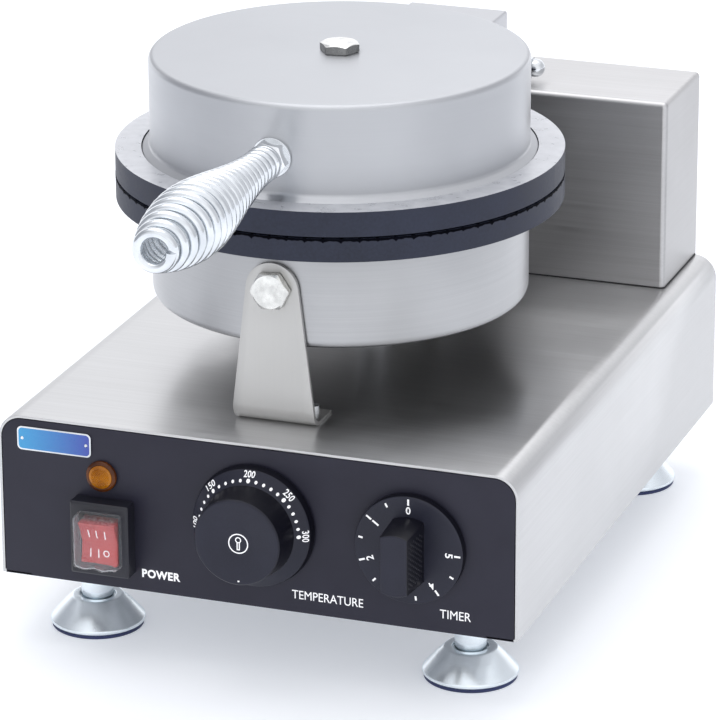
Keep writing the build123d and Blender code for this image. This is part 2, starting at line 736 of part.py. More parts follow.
# Lid arm: inverted channel from the cover's back wall to the hinge
arm_low_z = 232.0
arm_corner = arm_back - 0.3
with BuildPart() as lid_arm:
    with BuildSketch(Plane.YZ.offset(-arm_half)) as arm_side:
        with BuildLine():
            Polyline(
                (hinge_y, hinge_z - arm_corner),
                (hinge_y - 12, hinge_z - arm_corner),
                (hinge_y - 40, arm_low_z),
                (plate_y + 60, arm_low_z),
                (plate_y + 60, arm_z1),
                (hinge_y + arm_back, arm_z1),
                (hinge_y + arm_back, hinge_z),
                (hinge_y + arm_corner, hinge_z),
            )
            ThreePointArc(
                (hinge_y + arm_corner, hinge_z),
                (
                    hinge_y + arm_corner * math.sin(math.pi / 4),
                    hinge_z - arm_corner * math.cos(math.pi / 4),
                ),
                (hinge_y, hinge_z - arm_corner),
            )
        make_face()
    extrude(amount=2 * arm_half)
    arm_rim = lid_arm.edges().filter_by(Axis.Y).sort_by(Axis.Z)[-2:]
    fillet(arm_rim, 1.5)
    # hollow from below, between the sides, the top and the back wall
    with Locations((0, hinge_y + arm_back - arm_t, arm_z1 - arm_t)):
        Box(
            2 * (arm_half - arm_t),
            200,
            60,
            align=(Align.CENTER, Align.MAX, Align.MAX),
            mode=Mode.SUBTRACT,
        )
    # trim to the cover's wall and close the end with a saddle plate
    with Locations((0, plate_y, arm_low_z - 30)):
        Cylinder(
            dome_r + arm_t,
            90,
            align=(Align.CENTER, Align.CENTER, Align.MIN),
            mode=Mode.SUBTRACT,
        )
    with BuildSketch(Plane.XY.offset(arm_low_z)):
        with Locations((0, plate_y)):
            Circle(dome_r + arm_t)
            Circle(dome_r, mode=Mode.SUBTRACT)
        with Locations((0, plate_y + dome_r)):
            Rectangle(2 * arm_half, 40, mode=Mode.INTERSECT)
    extrude(amount=arm_z1 - arm_low_z)
    for side in (-1, 1):
        with BuildSketch(Plane.YZ.offset(side * (arm_half - arm_t / 2) - arm_t)):
            with Locations((hinge_y, hinge_z)):
                Circle(bushing_r + run_fit)
        extrude(amount=2 * arm_t, mode=Mode.SUBTRACT)
    # screw holes in the saddle plate
    with BuildSketch(Plane.XZ.offset(-plate_y)):
        with Locations((0, (arm_low_z + arm_z1) / 2)):
            with GridLocations(34, 8, 2, 2):
                Circle(1.6)
    extrude(amount=-100, mode=Mode.SUBTRACT)
save(lid_arm, "lid_arm")

# ================================================================ baking plates
plate_z0 = seam_z + plate_gap / 2
seam_lower = seam_z - plate_gap / 2
groove_count = 2 * int(plate_r / groove_pitch) + 1


def groove_rows(z, depth_sign, width, depth, field_r):
    """Comb of V-shaped grooves along Y in a baking face at height z, within field_r."""
    reach = (groove_count - 1) / 2 * groove_pitch
    with BuildPart() as rows:
        with BuildSketch(Plane.XZ.offset(-(plate_y - plate_r - 5))):
            for i in range(groove_count):
                x = -reach + i * groove_pitch
                with BuildLine():
                    Polyline(
                        (x - width / 2, z),
                        (x + width / 2, z),
                        (x, z - depth_sign * depth),
                        close=True,
                    )
                make_face()
        extrude(amount=-2 * plate_r - 10)
        with Locations((0, plate_y, z)):
            Cylinder(field_r, 10, mode=Mode.INTERSECT)
    return rows.part


plate_axis = Axis((0, plate_y, 0), (0, 0, 1))
lower_rows = groove_rows(seam_lower, 1, groove_w, groove_depth, groove_r)
upper_rows = groove_rows(plate_z0, -1, groove_w, groove_depth, groove_r)

# Steam vents: short V notches across the plain rim, outside the grooved field
with BuildPart() as vents:
    with BuildSketch(Plane.YZ.offset(groove_r + 0.8)):
        with BuildLine():
            Polyline(
                (plate_y - vent_w / 2, seam_lower),
                (plate_y + vent_w / 2, seam_lower),
                (plate_y, seam_lower - vent_depth),
                close=True,
            )
        make_face()
    vent = extrude(amount=10, mode=Mode.PRIVATE)
    for i in range(vent_count):
        add(vent.rotate(plate_axis, 360 * (i + 0.5) / vent_count))

# Lower plate: grooved disc with a locating skirt that drops into the pan
with BuildPart() as lower_plate:
    with Locations((0, plate_y, lower_plate_z0)):
        Cylinder(plate_r, seam_lower - lower_plate_z0, align=(Align.CENTER, Align.CENTER, Align.MIN))
    with Locations((0, plate_y, lower_plate_z0)):
        Cylinder(pan_r - skin - gap, 8, align=(Align.CENTER, Align.CENTER, Align.MAX))
    with Locations((0, plate_y, lower_plate_z0 - 8)):
        Cylinder(pan_r - 12, 8.1, align=(Align.CENTER, Align.CENTER, Align.MIN), mode=Mode.SUBTRACT)
        Cylinder(16, 8.1, align=(Align.CENTER, Align.CENTER, Align.MIN))
    add(vents.part, mode=Mode.SUBTRACT)
    add(lower_rows, mode=Mode.SUBTRACT)
    add(lower_rows.rotate(plate_axis, 90), mode=Mode.SUBTRACT)
save(lower_plate, "lower_plate")

# Upper plate: grooved disc with a recess for the cover's foot and a bolt boss
with BuildPart() as upper_plate:
    with Locations((0, plate_y, plate_z0)):
        Cylinder(plate_r, upper_plate_z1 - plate_z0, align=(Align.CENTER, Align.CENTER, Align.MIN))
    with Locations((0, plate_y, upper_plate_z1 - dome_seat_depth)):
        Cylinder(dome_seat_r, 10, align=(Align.CENTER, Align.CENTER, Align.MIN), mode=Mode.SUBTRACT)
        Cylinder(16, 8, align=(Align.CENTER, Align.CENTER, Align.MIN))
        with Locations((0, 0, 8)):
            Cylinder(5.1, 8, align=(Align.CENTER, Align.CENTER, Align.MAX), mode=Mode.SUBTRACT)
    add(upper_rows, mode=Mode.SUBTRACT)
    add(upper_rows.rotate(plate_axis, 90), mode=Mode.SUBTRACT)
save(upper_plate, "upper_plate")

# ==================================================================== lid cover
dome_z0 = upper_plate_z1 - dome_seat_depth
with BuildPart() as dome_cover:
    with BuildSketch(Plane.YZ) as wall:
        with BuildLine():
            Polyline(
                (plate_y, dome_z1),
                (plate_y + dome_r - dome_edge_r, dome_z1),
            )
            RadiusArc(
                (plate_y + dome_r - dome_edge_r, dome_z1),
                (plate_y + dome_r, dome_z1 - dome_edge_r),
                dome_edge_r,
            )
            Line(
                (plate_y + dome_r, dome_z1 - dome_edge_r),
                (plate_y + dome_r, dome_z0 + 4.6),
            )
            Polyline(
                (plate_y + dome_r, dome_z0 + 4.6),
                (plate_y + dome_r + 0.9, dome_z0 + 2.6),
                (plate_y + dome_foot_r, dome_z0 + skin),
                (plate_y + dome_foot_r, dome_z0),
                (plate_y + dome_r - skin, dome_z0),
                (plate_y + dome_r - skin, dome_z1 - dome_edge_r),
            )
            RadiusArc(
                (plate_y + dome_r - skin, dome_z1 - dome_edge_r),
                (plate_y + dome_r - dome_edge_r, dome_z1 - skin),
                -(dome_edge_r - skin),
            )
            Polyline(
                (plate_y + dome_r - dome_edge_r, dome_z1 - skin),
                (plate_y, dome_z1 - skin),
                (plate_y, dome_z1),
            )
        make_face()
    revolve(axis=plate_axis)
    # bolt hole on top, handle hole in front, four arm screw holes at the back
    with BuildSketch(Plane.XY.offset(dome_z1 + 1)):
        with Locations((0, plate_y)):
            Circle(5.2)
    extrude(amount=-5, mode=Mode.SUBTRACT)
    with BuildSketch(Plane.XZ.offset(-plate_y)):
        with Locations((0, handle_z)):
            Circle(4.1)
    extrude(amount=100, mode=Mode.SUBTRACT)
    with BuildSketch(Plane.XZ.offset(-plate_y)):
        with Locations((0, (arm_low_z + arm_z1) / 2)):
            with GridLocations(34, 8, 2, 2):
                Circle(1.6)
    extrude(amount=-100, mode=Mode.SUBTRACT)
save(dome_cover, "dome_cover")

# The saddle plate of the arm has the same four holes
with BuildPart() as arm_screws:
    with BuildSketch(Plane.XZ.offset(-(plate_y + dome_r - 4.5))):
        with Locations((0, (arm_low_z + arm_z1) / 2)):
            with GridLocations(34, 8, 2, 2):
                Circle(1.5)
    extrude(amount=-5)
    with BuildSketch(Plane.XZ.offset(-(plate_y + dome_r - 4.5))):
        with Locations((0, (arm_low_z + arm_z1) / 2)):
            with GridLocations(34, 8, 2, 2):
                Circle(2.8)
    extrude(amount=1.8)
save(arm_screws, "arm_screws")

# M10 bolt through the cover into the upper plate's boss
top_head_z = 4.6
with BuildPart() as dome_bolt:
    with BuildSketch(Plane.XY.offset(dome_z1)):
        with Locations((0, plate_y)):
            hexagon(17)
    extrude(amount=top_head_z)
    with BuildSketch(Plane.XY.offset(dome_z1)):
        with Locations((0, plate_y)):
            Circle(5.0)
    extrude(amount=-(dome_z1 - dome_z0 - 2))
save(dome_bolt, "dome_bolt")

# ============================================================= heating elements
element_r = 62.0
tube_r = 4.0


def heating_element(z, lead_dir):
    """Open ring of sheathed tube on a plate, with two leads on its near ends."""
    with BuildPart() as element:
        with BuildSketch(Plane.XZ.offset(-plate_y)):
            with Locations((element_r, z)):
                Circle(tube_r)
        revolve(axis=plate_axis, revolution_arc=330)
        with BuildSketch(Plane.XY.offset(z)):
            with Locations((0, plate_y)):
                with PolarLocations(element_r, 1, 0):
                    Circle(3.0)
                with PolarLocations(element_r, 1, 330):
                    Circle(3.0)
        extrude(amount=lead_dir * 14)
    return element


upper_element = heating_element(dome_z0 + tube_r, 1)
save(upper_element, "upper_element")
lower_element = heating_element(lower_plate_z0 - tube_r, -1)
save(lower_element, "lower_element")

# Sheet clamps that press each element against its plate
clamp_t = 1.5
with BuildPart() as upper_clamp:
    with BuildSketch(Plane.XY.offset(dome_z0 + 2 * tube_r)):
        with Locations((0, plate_y)):
            Rectangle(18, 150)
            Circle(22)
            Circle(5.3, mode=Mode.SUBTRACT)
    extrude(amount=clamp_t)
save(upper_clamp, "upper_clamp")

with BuildPart() as lower_clamp:
    with BuildSketch(Plane.XY.offset(lower_plate_z0 - 2 * tube_r)):
        with Locations((0, plate_y)):
            Rectangle(18, 150)
            Circle(22)
            Circle(3.3, mode=Mode.SUBTRACT)
    extrude(amount=-clamp_t)
save(lower_clamp, "lower_clamp")

with BuildPart() as clamp_bolt:
    with BuildSketch(Plane.XY.offset(lower_plate_z0 - 2 * tube_r - clamp_t)):
        with Locations((0, plate_y)):
            hexagon(10)
    extrude(amount=-4)
save(clamp_bolt, "clamp_bolt")

# Mineral wool discs above and below, with a hole for the bolt and the leads
with BuildPart() as lid_wool:
    with BuildSketch(Plane.XY.offset(dome_z0 + 2 * tube_r + 12)):
        with Locations((0, plate_y)):
            Circle(dome_r - 18)
            Circle(8, mode=Mode.SUBTRACT)
    extrude(amount=6)
save(lid_wool, "lid_wool")

with BuildPart() as pan_wool:
    with BuildSketch(Plane.XY.offset(pan_z0 + skin + 4)):
        with Locations((0, plate_y)):
            Circle(pan_r - 12)
            Circle(14, mode=Mode.SUBTRACT)
    extrude(amount=12)
save(pan_wool, "pan_wool")

# Capillary bulb of the thermostat under the lower plate
with BuildPart() as sensor_bulb:
    with BuildSketch(Plane.YZ.offset(-30)):
        with Locations((plate_y + 30, lower_plate_z0 - 3.2)):
            Circle(3.0)
    extrude(amount=60)
save(sensor_bulb, "sensor_bulb")

# ==================================================================== lower pan
with BuildPart() as pan_hollow:
    with Locations((0, plate_y, pan_z0 + skin)):
        Cylinder(
            pan_r - skin,
            lower_plate_z0 - pan_z0,
            align=(Align.CENTER, Align.CENTER, Align.MIN),
        )
    fillet(pan_hollow.faces().sort_by(Axis.Z)[0].edges(), pan_edge_r - skin)

with BuildPart() as lower_pan:
    with Locations((0, plate_y, pan_z0)):
        Cylinder(pan_r, lower_plate_z0 - pan_z0, align=(Align.CENTER, Align.CENTER, Align.MIN))
    fillet(lower_pan.faces().sort_by(Axis.Z)[0].edges(), pan_edge_r)
    add(pan_hollow.part, mode=Mode.SUBTRACT)
    with BuildSketch(Plane.XY.offset(pan_z0 - 1)):
        with Locations((0, plate_y + 45)):
            Circle(7.2)
    extrude(amount=4, mode=Mode.SUBTRACT)
    with BuildSketch(Plane.XZ.offset(-(plate_y - pan_r - 1))):
        with Locations((0, bracket_bolt_z)):
            Circle(5.2)
    extrude(amount=-2 * pan_r - 2, mode=Mode.SUBTRACT)
save(lower_pan, "lower_pan")

# Threaded steel conduit that carries the leads from the base up into the pan
with BuildPart() as pan_conduit:
    with BuildSketch(Plane.XY.offset(base_z1 - 6)):
        with Locations((0, plate_y + 45)):
            Circle(7.0)
            Circle(5.5, mode=Mode.SUBTRACT)
    extrude(amount=pan_z0 - base_z1 + 10)
save(pan_conduit, "pan_conduit")

with BuildPart() as conduit_nuts:
    with BuildSketch(Plane.XY.offset(base_z1)):
        with Locations((0, plate_y + 45)):
            hexagon(20)
            Circle(7.05, mode=Mode.SUBTRACT)
    extrude(amount=4)
    with BuildSketch(Plane.XY.offset(pan_z0)):
        with Locations((0, plate_y + 45)):
            hexagon(20)
            Circle(7.05, mode=Mode.SUBTRACT)
    extrude(amount=-4)
save(conduit_nuts, "conduit_nuts")


# ================================================================= pan brackets
pan_face_y = plate_y - pan_r
bracket_y0 = pan_face_y - gap - bracket_t


def pan_bracket():
    """Tapered sheet bracket in front of the pan, its foot turned back under it."""
    inner_r = bracket_bend_r - bracket_t
    foot_y1 = bracket_y0 + bracket_foot
    with BuildPart() as bracket:
        with BuildSketch(Plane.YZ.offset(-bracket_w / 2)):
            with BuildLine():
                Polyline(
                    (bracket_y0, base_z1 + bracket_bend_r),
                    (bracket_y0, bracket_bolt_z + bracket_top_r),
                    (bracket_y0 + bracket_t, bracket_bolt_z + bracket_top_r),
                    (bracket_y0 + bracket_t, base_z1 + bracket_bend_r),
                )
                RadiusArc(
                    (bracket_y0 + bracket_t, base_z1 + bracket_bend_r),
                    (bracket_y0 + bracket_bend_r, base_z1 + bracket_t),
                    -inner_r,
                )
                Polyline(
                    (bracket_y0 + bracket_bend_r, base_z1 + bracket_t),
                    (foot_y1, base_z1 + bracket_t),
                    (foot_y1, base_z1),
                    (bracket_y0 + bracket_bend_r, base_z1),
                )
                RadiusArc(
                    (bracket_y0 + bracket_bend_r, base_z1),
                    (bracket_y0, base_z1 + bracket_bend_r),
                    bracket_bend_r,
                )
            make_face()
        extrude(amount=bracket_w)
        # tapered outline with a round top, seen from the front
        with BuildSketch(Plane.XZ.offset(-(bracket_y0 - 1))):
            with Locations((0, bracket_bolt_z)):
                Circle(bracket_top_r)
            with BuildLine():
                Polyline(
                    (-bracket_w / 2, base_z1 - 1),
                    (bracket_w / 2, base_z1 - 1),
                    (bracket_w / 2, base_z1 + 8),
                    (bracket_top_r, bracket_bolt_z + 1.5),
                    (-bracket_top_r, bracket_bolt_z + 1.5),
                    (-bracket_w / 2, base_z1 + 8),
                    close=True,
                )
            make_face()
            with Locations((0, bracket_bolt_z)):
                Circle(5.2, mode=Mode.SUBTRACT)
        extrude(amount=-(bracket_foot + 2), mode=Mode.INTERSECT)
        with BuildSketch(Plane.XY.offset(base_z1 + bracket_t + 1)):
            with Locations((-14, y_front + 44), (14, y_front + 44)):
                Circle(2.6)
        extrude(amount=-6, mode=Mode.SUBTRACT)
    return bracket


front_bracket = pan_bracket()
save(front_bracket, "front_bracket")
rear_bracket = pan_bracket()
rear_bracket.part = rear_bracket.part.rotate(plate_axis, 180)
save(rear_bracket, "rear_bracket")

# M10 bolts through the brackets and the pan wall, nuts inside
bracket_head_y = 4.4
with BuildPart() as bracket_bolts:
    with BuildSketch(Plane.XZ.offset(-bracket_y0)):
        with Locations((0, bracket_bolt_z)):
            hexagon(17)
    extrude(amount=bracket_head_y)
    with BuildSketch(Plane.XZ.offset(-bracket_y0)):
        with Locations((0, bracket_bolt_z)):
            Circle(5.0)
    extrude(amount=-16)
    add(bracket_bolts.part.rotate(plate_axis, 180))
save(bracket_bolts, "bracket_bolts")

with BuildPart() as bracket_nuts:
    with BuildSketch(Plane.XZ.offset(-(pan_face_y + skin + 1))):
        with Locations((0, bracket_bolt_z)):
            hexagon(17)
            Circle(5.05, mode=Mode.SUBTRACT)
    extrude(amount=-8)
    add(bracket_nuts.part.rotate(plate_axis, 180))
save(bracket_nuts, "bracket_nuts")

# Screws that hold the bracket feet, driven up from inside the base
foot_screw_y = [y_front + 44, y_front + 195.6]
with BuildPart() as bracket_screws:
    for sy in foot_screw_y:
        with BuildSketch(Plane.XY.offset(base_z1 - sheet)):
            with Locations((-14, sy), (14, sy)):
                Circle(4.2)
        extrude(amount=-2.6)
        with BuildSketch(Plane.XY.offset(base_z1 - sheet)):
            with Locations((-14, sy), (14, sy)):
                Circle(2.5)
        extrude(amount=sheet + bracket_t + 4)
save(bracket_screws, "bracket_screws")

# ======================================================================= handle
# Threaded rod through the cover's wall, clamped by a nut and washer on each side
wall_y = plate_y - dome_r
rod_out = 42.0
with BuildPart() as handle_rod:
    with BuildSketch(Plane.XZ.offset(-(wall_y + 14))):
        with Locations((0, handle_z)):
            Circle(handle_rod_r)
    extrude(amount=14 + rod_out)
save(handle_rod, "handle_rod")

with BuildPart() as handle_washers:
    with BuildSketch(Plane.XZ.offset(-wall_y)):
        with Locations((0, handle_z)):
            Circle(9.6)
            Circle(4.0, mode=Mode.SUBTRACT)
    extrude(amount=1.6)
    with BuildSketch(Plane.XZ.offset(-(wall_y + skin + 0.4))):
        with Locations((0, handle_z)):
            Circle(8.2)
            Circle(4.0, mode=Mode.SUBTRACT)
    extrude(amount=-1.6)
save(handle_washers, "handle_washers")

with BuildPart() as handle_nuts:
    with BuildSketch(Plane.XZ.offset(-(wall_y - 1.6))):
        with Locations((0, handle_z)):
            hexagon(16.2)
            Circle(3.95, mode=Mode.SUBTRACT)
    extrude(amount=handle_nut_z)
    with BuildSketch(Plane.XZ.offset(-(wall_y + skin + 2.0))):
        with Locations((0, handle_z)):
            hexagon(13.6)
            Circle(3.95, mode=Mode.SUBTRACT)
    extrude(amount=-handle_nut_z)
save(handle_nuts, "handle_nuts")

# Coil grip: a barrel of close turns, slim at the nut, full past the middle
coil_y0 = wall_y - 1.6 - handle_nut_z - 0.2
coil_y1 = wall_y - handle_len
coil_turns = 23
coil_outline = Spline(
    (coil_y0, 8.75),
    (wall_y - 27, 9.1),
    (wall_y - 43, 10.6),
    (wall_y - 60, 12.95),
    (wall_y - 77, 15.5),
    (wall_y - 94, 17.5),
    (wall_y - 103, 17.8),
    (wall_y - 112, 17.4),
    (wall_y - 129, 14.5),
    (coil_y1, 9.6),
)
coil_pitch = (coil_y0 - coil_y1) / coil_turns
turn_edges = [coil_outline.position_at(i / coil_turns) for i in range(coil_turns + 1)]
turn_crests = [coil_outline.position_at((i + 0.5) / coil_turns) for i in range(coil_turns)]
valley = 1.3
with BuildPart() as handle_coil:
    with BuildSketch(Plane.YZ):
        with BuildLine():
            for i in range(coil_turns):
                start = turn_edges[i]
                crest = turn_crests[i]
                end = turn_edges[i + 1]
                ThreePointArc(
                    (start.X, handle_z + start.Y - valley),
                    (crest.X, handle_z + crest.Y),
                    (end.X, handle_z + end.Y - valley),
                )
            last = turn_edges[-1]
            first = turn_edges[0]
            Line(
                (last.X, handle_z + last.Y - valley),
                (last.X, handle_z + last.Y - handle_wire + 0.2),
            )
            for i in reversed(range(coil_turns)):
                start = turn_edges[i + 1]
                end = turn_edges[i]
                Line(
                    (start.X, handle_z + start.Y - handle_wire + 0.2),
                    (end.X, handle_z + end.Y - handle_wire + 0.2),
                )
            Line(
                (first.X, handle_z + first.Y - handle_wire + 0.2),
                (first.X, handle_z + first.Y - valley),
            )
        make_face()
    revolve(axis=Axis((0, coil_y0, handle_z), (0, 1, 0)))
save(handle_coil, "handle_coil")
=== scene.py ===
import json
import math

import bmesh
import bpy
from mathutils import Matrix, Vector


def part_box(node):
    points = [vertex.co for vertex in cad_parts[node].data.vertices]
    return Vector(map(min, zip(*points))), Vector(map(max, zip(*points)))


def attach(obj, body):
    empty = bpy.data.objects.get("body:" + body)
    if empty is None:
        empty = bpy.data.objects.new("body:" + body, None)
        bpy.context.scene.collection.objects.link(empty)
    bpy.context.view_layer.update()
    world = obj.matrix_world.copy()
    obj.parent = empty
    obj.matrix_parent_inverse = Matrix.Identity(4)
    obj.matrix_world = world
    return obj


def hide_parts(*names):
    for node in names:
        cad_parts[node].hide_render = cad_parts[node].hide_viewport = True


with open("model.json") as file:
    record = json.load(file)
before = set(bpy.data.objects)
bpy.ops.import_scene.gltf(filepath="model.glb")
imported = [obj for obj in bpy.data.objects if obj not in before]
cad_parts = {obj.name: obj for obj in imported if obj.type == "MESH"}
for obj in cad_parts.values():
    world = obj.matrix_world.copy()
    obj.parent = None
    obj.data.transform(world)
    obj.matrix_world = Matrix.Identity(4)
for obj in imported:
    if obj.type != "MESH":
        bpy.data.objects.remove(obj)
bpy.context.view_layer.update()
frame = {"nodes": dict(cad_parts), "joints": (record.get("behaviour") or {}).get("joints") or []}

# Electric waffle cone maker. Shapes are worked out in millimetres in the row frame
# and become metres when a mesh is made.

MM = 0.001


# ---- CAD places, mm
def low(node):
    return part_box(node)[0] / MM


def high(node):
    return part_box(node)[1] / MM


def ends(node):
    return low(node), high(node)


def middle(node):
    return (low(node) + high(node)) / 2


shell_lo, shell_hi = ends("base_shell")
panel_y = low("front_panel").y
back_y = shell_hi.y
top_z = shell_hi.z
plate = middle("lower_plate")
plate_x, plate_y = plate.x, plate.y


def up(x, y, z):
    """Local X, Y, Z along the frame's own axes."""
    return Matrix.Translation((x, y, z))


def facing_front(x, z, y=None):
    """Local X to the right, local Y up and local Z out of the control panel."""
    y = panel_y if y is None else y
    return Matrix(((1, 0, 0, x), (0, 0, -1, y), (0, 1, 0, z), (0, 0, 0, 1)))


def facing_back(x, z, y=None):
    """Local X to the left, local Y up and local Z towards the back."""
    y = back_y if y is None else y
    return Matrix(((-1, 0, 0, x), (0, 0, 1, y), (0, 1, 0, z), (0, 0, 0, 1)))


# ---- materials
class Nodes:
    """Short ways to add shader nodes to the tree of a material or world."""

    def __init__(self, owner):
        owner.use_nodes = True
        self.tree = owner.node_tree
        self.coords = self.tree.nodes.new("ShaderNodeTexCoord")

    def put(self, target, value):
        if hasattr(value, "is_output"):
            self.tree.links.new(value, target)
        else:
            target.default_value = value

    def node(self, kind, inputs=(), **settings):
        made = self.tree.nodes.new("ShaderNode" + kind)
        for key, value in settings.items():
            setattr(made, key, value)
        for key, value in dict(inputs).items():
            self.put(made.inputs[key], value)
        return made

    def maths(self, operation, a, b=0.0, clamp=False):
        return self.node("Math", {0: a, 1: b}, operation=operation, use_clamp=clamp).outputs[0]

    def remap(self, value, a, b, c=0.0, d=1.0, smooth=False):
        kind = "SMOOTHSTEP" if smooth else "LINEAR"
        inputs = {"Value": value, "From Min": a, "From Max": b, "To Min": c, "To Max": d}
        return self.node("MapRange", inputs, interpolation_type=kind).outputs["Result"]

    def blend(self, factor, a, b):
        made = self.node("Mix", data_type="RGBA")
        for index, value in ((0, factor), (6, a), (7, b)):
            if isinstance(value, tuple) and len(value) == 3:
                value = (*value, 1.0)
            self.put(made.inputs[index], value)
        return made.outputs[2]

    def part(self, axis, source="Object"):
        split = self.node("SeparateXYZ", {0: self.coords.outputs[source]})
        return split.outputs["XYZ".index(axis)]


class Surface(Nodes):
    """A Principled material."""

    def __init__(self, name, **sockets):
        self.material = bpy.data.materials.new(name)
        super().__init__(self.material)
        self.shader = self.tree.nodes["Principled BSDF"]
        for key, value in sockets.items():
            self.shader.inputs[key.replace("_", " ")].default_value = value

    def noise(self, scale=1.0, stretch=(1, 1, 1), detail=3.0, rough=0.5):
        place = self.node("Mapping", {0: self.coords.outputs["Object"], 3: stretch}).outputs[0]
        inputs = {"Vector": place, "Scale": scale, "Detail": detail, "Roughness": rough}
        return self.node("TexNoise", inputs).outputs["Fac"]

    def blend_value(self, factor, a, b):
        return self.node("Mix", {0: factor, 2: a, 3: b}, data_type="FLOAT").outputs[0]

    def scaled(self, colour, share):
        return self.node("VectorMath", {0: colour, 3: share}, operation="SCALE").outputs[0]

    def faces(self, axis, a=0.6, b=0.85):
        """1 where the surface faces along the axis, either way."""
        return self.remap(self.maths("ABSOLUTE", self.part(axis, "Normal")), a, b)

    def relief(self, height, strength, depth, under=None):
        inputs = {"Strength": strength, "Distance": depth, "Height": height}
        if under is not None:
            inputs["Normal"] = under
        return self.node("Bump", inputs).outputs[0]

    def set(self, **sockets):
        for key, value in sockets.items():
            if isinstance(value, tuple) and len(value) == 3:
                value = (*value, 1.0)
            self.put(self.shader.inputs[key.replace("_", " ")], value)
        return self.material


def brushed_steel(
    name, along, other, axis, dark, light, rough,
    streak=0.6, relief=0.02, sides=1.0, fronts=1.0, under=1.0,
):
    """Sheet steel brushed along one way, and the other way where it faces axis.

    sides, fronts and under paint shade: they scale the tone of what faces X, Y and downwards.
    """
    s = Surface(name, Metallic=1.0, Anisotropic=0.85)
    face = s.faces(axis)
    level = s.faces("Z")
    across = s.node("CombineXYZ", {1: level, 2: s.maths("SUBTRACT", 1.0, level)}).outputs[0]

    def grain(share, detail):
        ways = [tuple(v * share for v in way) for way in (along, other)]
        return s.blend_value(face, *(s.noise(1.0, way, detail) for way in ways))

    fine, wide = grain(1.0, 3.0), grain(0.28, 3.0)
    cloud = s.noise(7.0, detail=3.0)
    lines = s.blend_value(0.5, fine, wide)
    tone = s.remap(s.blend_value(streak, cloud, lines), 0.3, 0.7)
    # Painted shade: darker tone on faces that look down, face X or face Y.
    down = s.remap(s.part("Z", "Normal"), -0.9, -0.6, under, 1.0)
    side_shade = s.blend_value(s.faces("X"), 1.0, sides)
    front_shade = s.blend_value(s.faces("Y"), 1.0, fronts)
    shade = s.maths("MULTIPLY", s.maths("MULTIPLY", side_shade, front_shade), down)
    base = s.scaled(s.blend(tone, dark, light), shade)
    smear = s.remap(s.noise(23.0, detail=5.0), 0.35, 0.7, -0.015, 0.04)
    roughness = s.maths("ADD", s.remap(lines, 0.3, 0.7, *rough), smear)
    wave = s.relief(s.noise(9.0, detail=1.0), 0.04, 0.002)
    bump = s.relief(lines, relief, 0.00006, wave)
    return s.set(Base_Color=base, Roughness=roughness, Normal=bump, Tangent=across)


def plated(name, dark, light, rough, cloud=60.0, pits=900.0, depth=0.06, flanks=1.0):
    """Bright zinc or chrome plating with a faint orange peel and soft stains."""
    s = Surface(name, Metallic=1.0)
    stain = s.noise(cloud, detail=4.0)
    base = s.blend(s.remap(stain, 0.35, 0.65), dark, light)
    # Painted shade: flanks darkens what doesn't face up.
    if flanks != 1.0:
        shade = s.blend_value(s.faces("Z", 0.3, 0.8), flanks, 1.0)
        base = s.scaled(base, shade)
    roughness = s.remap(s.noise(cloud * 2.3, detail=5.0), 0.3, 0.7, *rough)
    bump = s.relief(s.noise(pits, detail=3.0), depth, 0.0001)
    return s.set(Base_Color=base, Roughness=roughness, Normal=bump)


def moulded(
    name, dark, light, rough, scale=1400.0, depth=0.15, cloud=45.0, cheeks=None, **sockets
):
    """Moulded plastic or rubber: fine spark-eroded texture and a slightly uneven tone.

    cheeks is a painted shade: the darker colour given to what doesn't face forwards.
    """
    s = Surface(name, **sockets)
    patch = s.noise(cloud, detail=4.0)
    fine = s.noise(scale, detail=3.0)
    tone = s.remap(s.blend_value(0.35, patch, fine), 0.36, 0.64)
    base = s.blend(tone, dark, light)
    # Painted shade: cheeks colours what doesn't face forwards.
    if cheeks:
        base = s.blend(s.faces("Y", 0.45, 0.8), cheeks, base)
    roughness = s.remap(s.blend_value(0.5, patch, fine), 0.35, 0.65, *rough)
    bump = s.relief(fine, depth, 0.0001)
    return s.set(Base_Color=base, Roughness=roughness, Normal=bump)


def plate_coat(name, bare_from):
    """Black non-stick coat over cast aluminium, bare on faces that look up from bare_from."""
    s = Surface(name, Specular_IOR_Level=0.35)
    cast = s.noise(700.0, detail=5.0, rough=0.6)
    patch = s.noise(35.0, detail=4.0)
    tone = s.remap(s.blend_value(0.5, cast, patch), 0.35, 0.65)
    coat = s.blend(tone, (0.010, 0.013, 0.027), (0.022, 0.027, 0.050))
    turned = s.noise(1.0, (160.0, 160.0, 1400.0), 3.0)
    metal = s.blend(s.remap(turned, 0.35, 0.65), (0.52, 0.53, 0.56), (0.62, 0.63, 0.66))
    looks_up = s.remap(s.part("Z", "Normal"), 0.6, 0.75)
    edge = s.maths("MULTIPLY", s.noise(240.0, detail=4.0), 0.0006)
    height = s.maths("SUBTRACT", s.part("Z"), edge)
    above = s.remap(height, bare_from * MM - 0.0002, bare_from * MM + 0.0002)
    bare = s.maths("MULTIPLY", looks_up, above)
    roughness = s.blend_value(
        bare,
        s.remap(tone, 0.0, 1.0, 0.42, 0.58),
        s.remap(turned, 0.3, 0.7, 0.26, 0.38),
    )
    bump = s.relief(cast, 0.14, 0.00025)
    return s.set(
        Base_Color=s.blend(bare, coat, metal),
        Metallic=s.maths("MULTIPLY", bare, 0.3),
        Roughness=roughness,
        Normal=bump,
    )


along_x, along_y, along_z = (22.0, 1900.0, 1900.0), (1900.0, 22.0, 1900.0), (1900.0, 1900.0, 22.0)
round_wall = (16.0, 16.0, 1900.0)

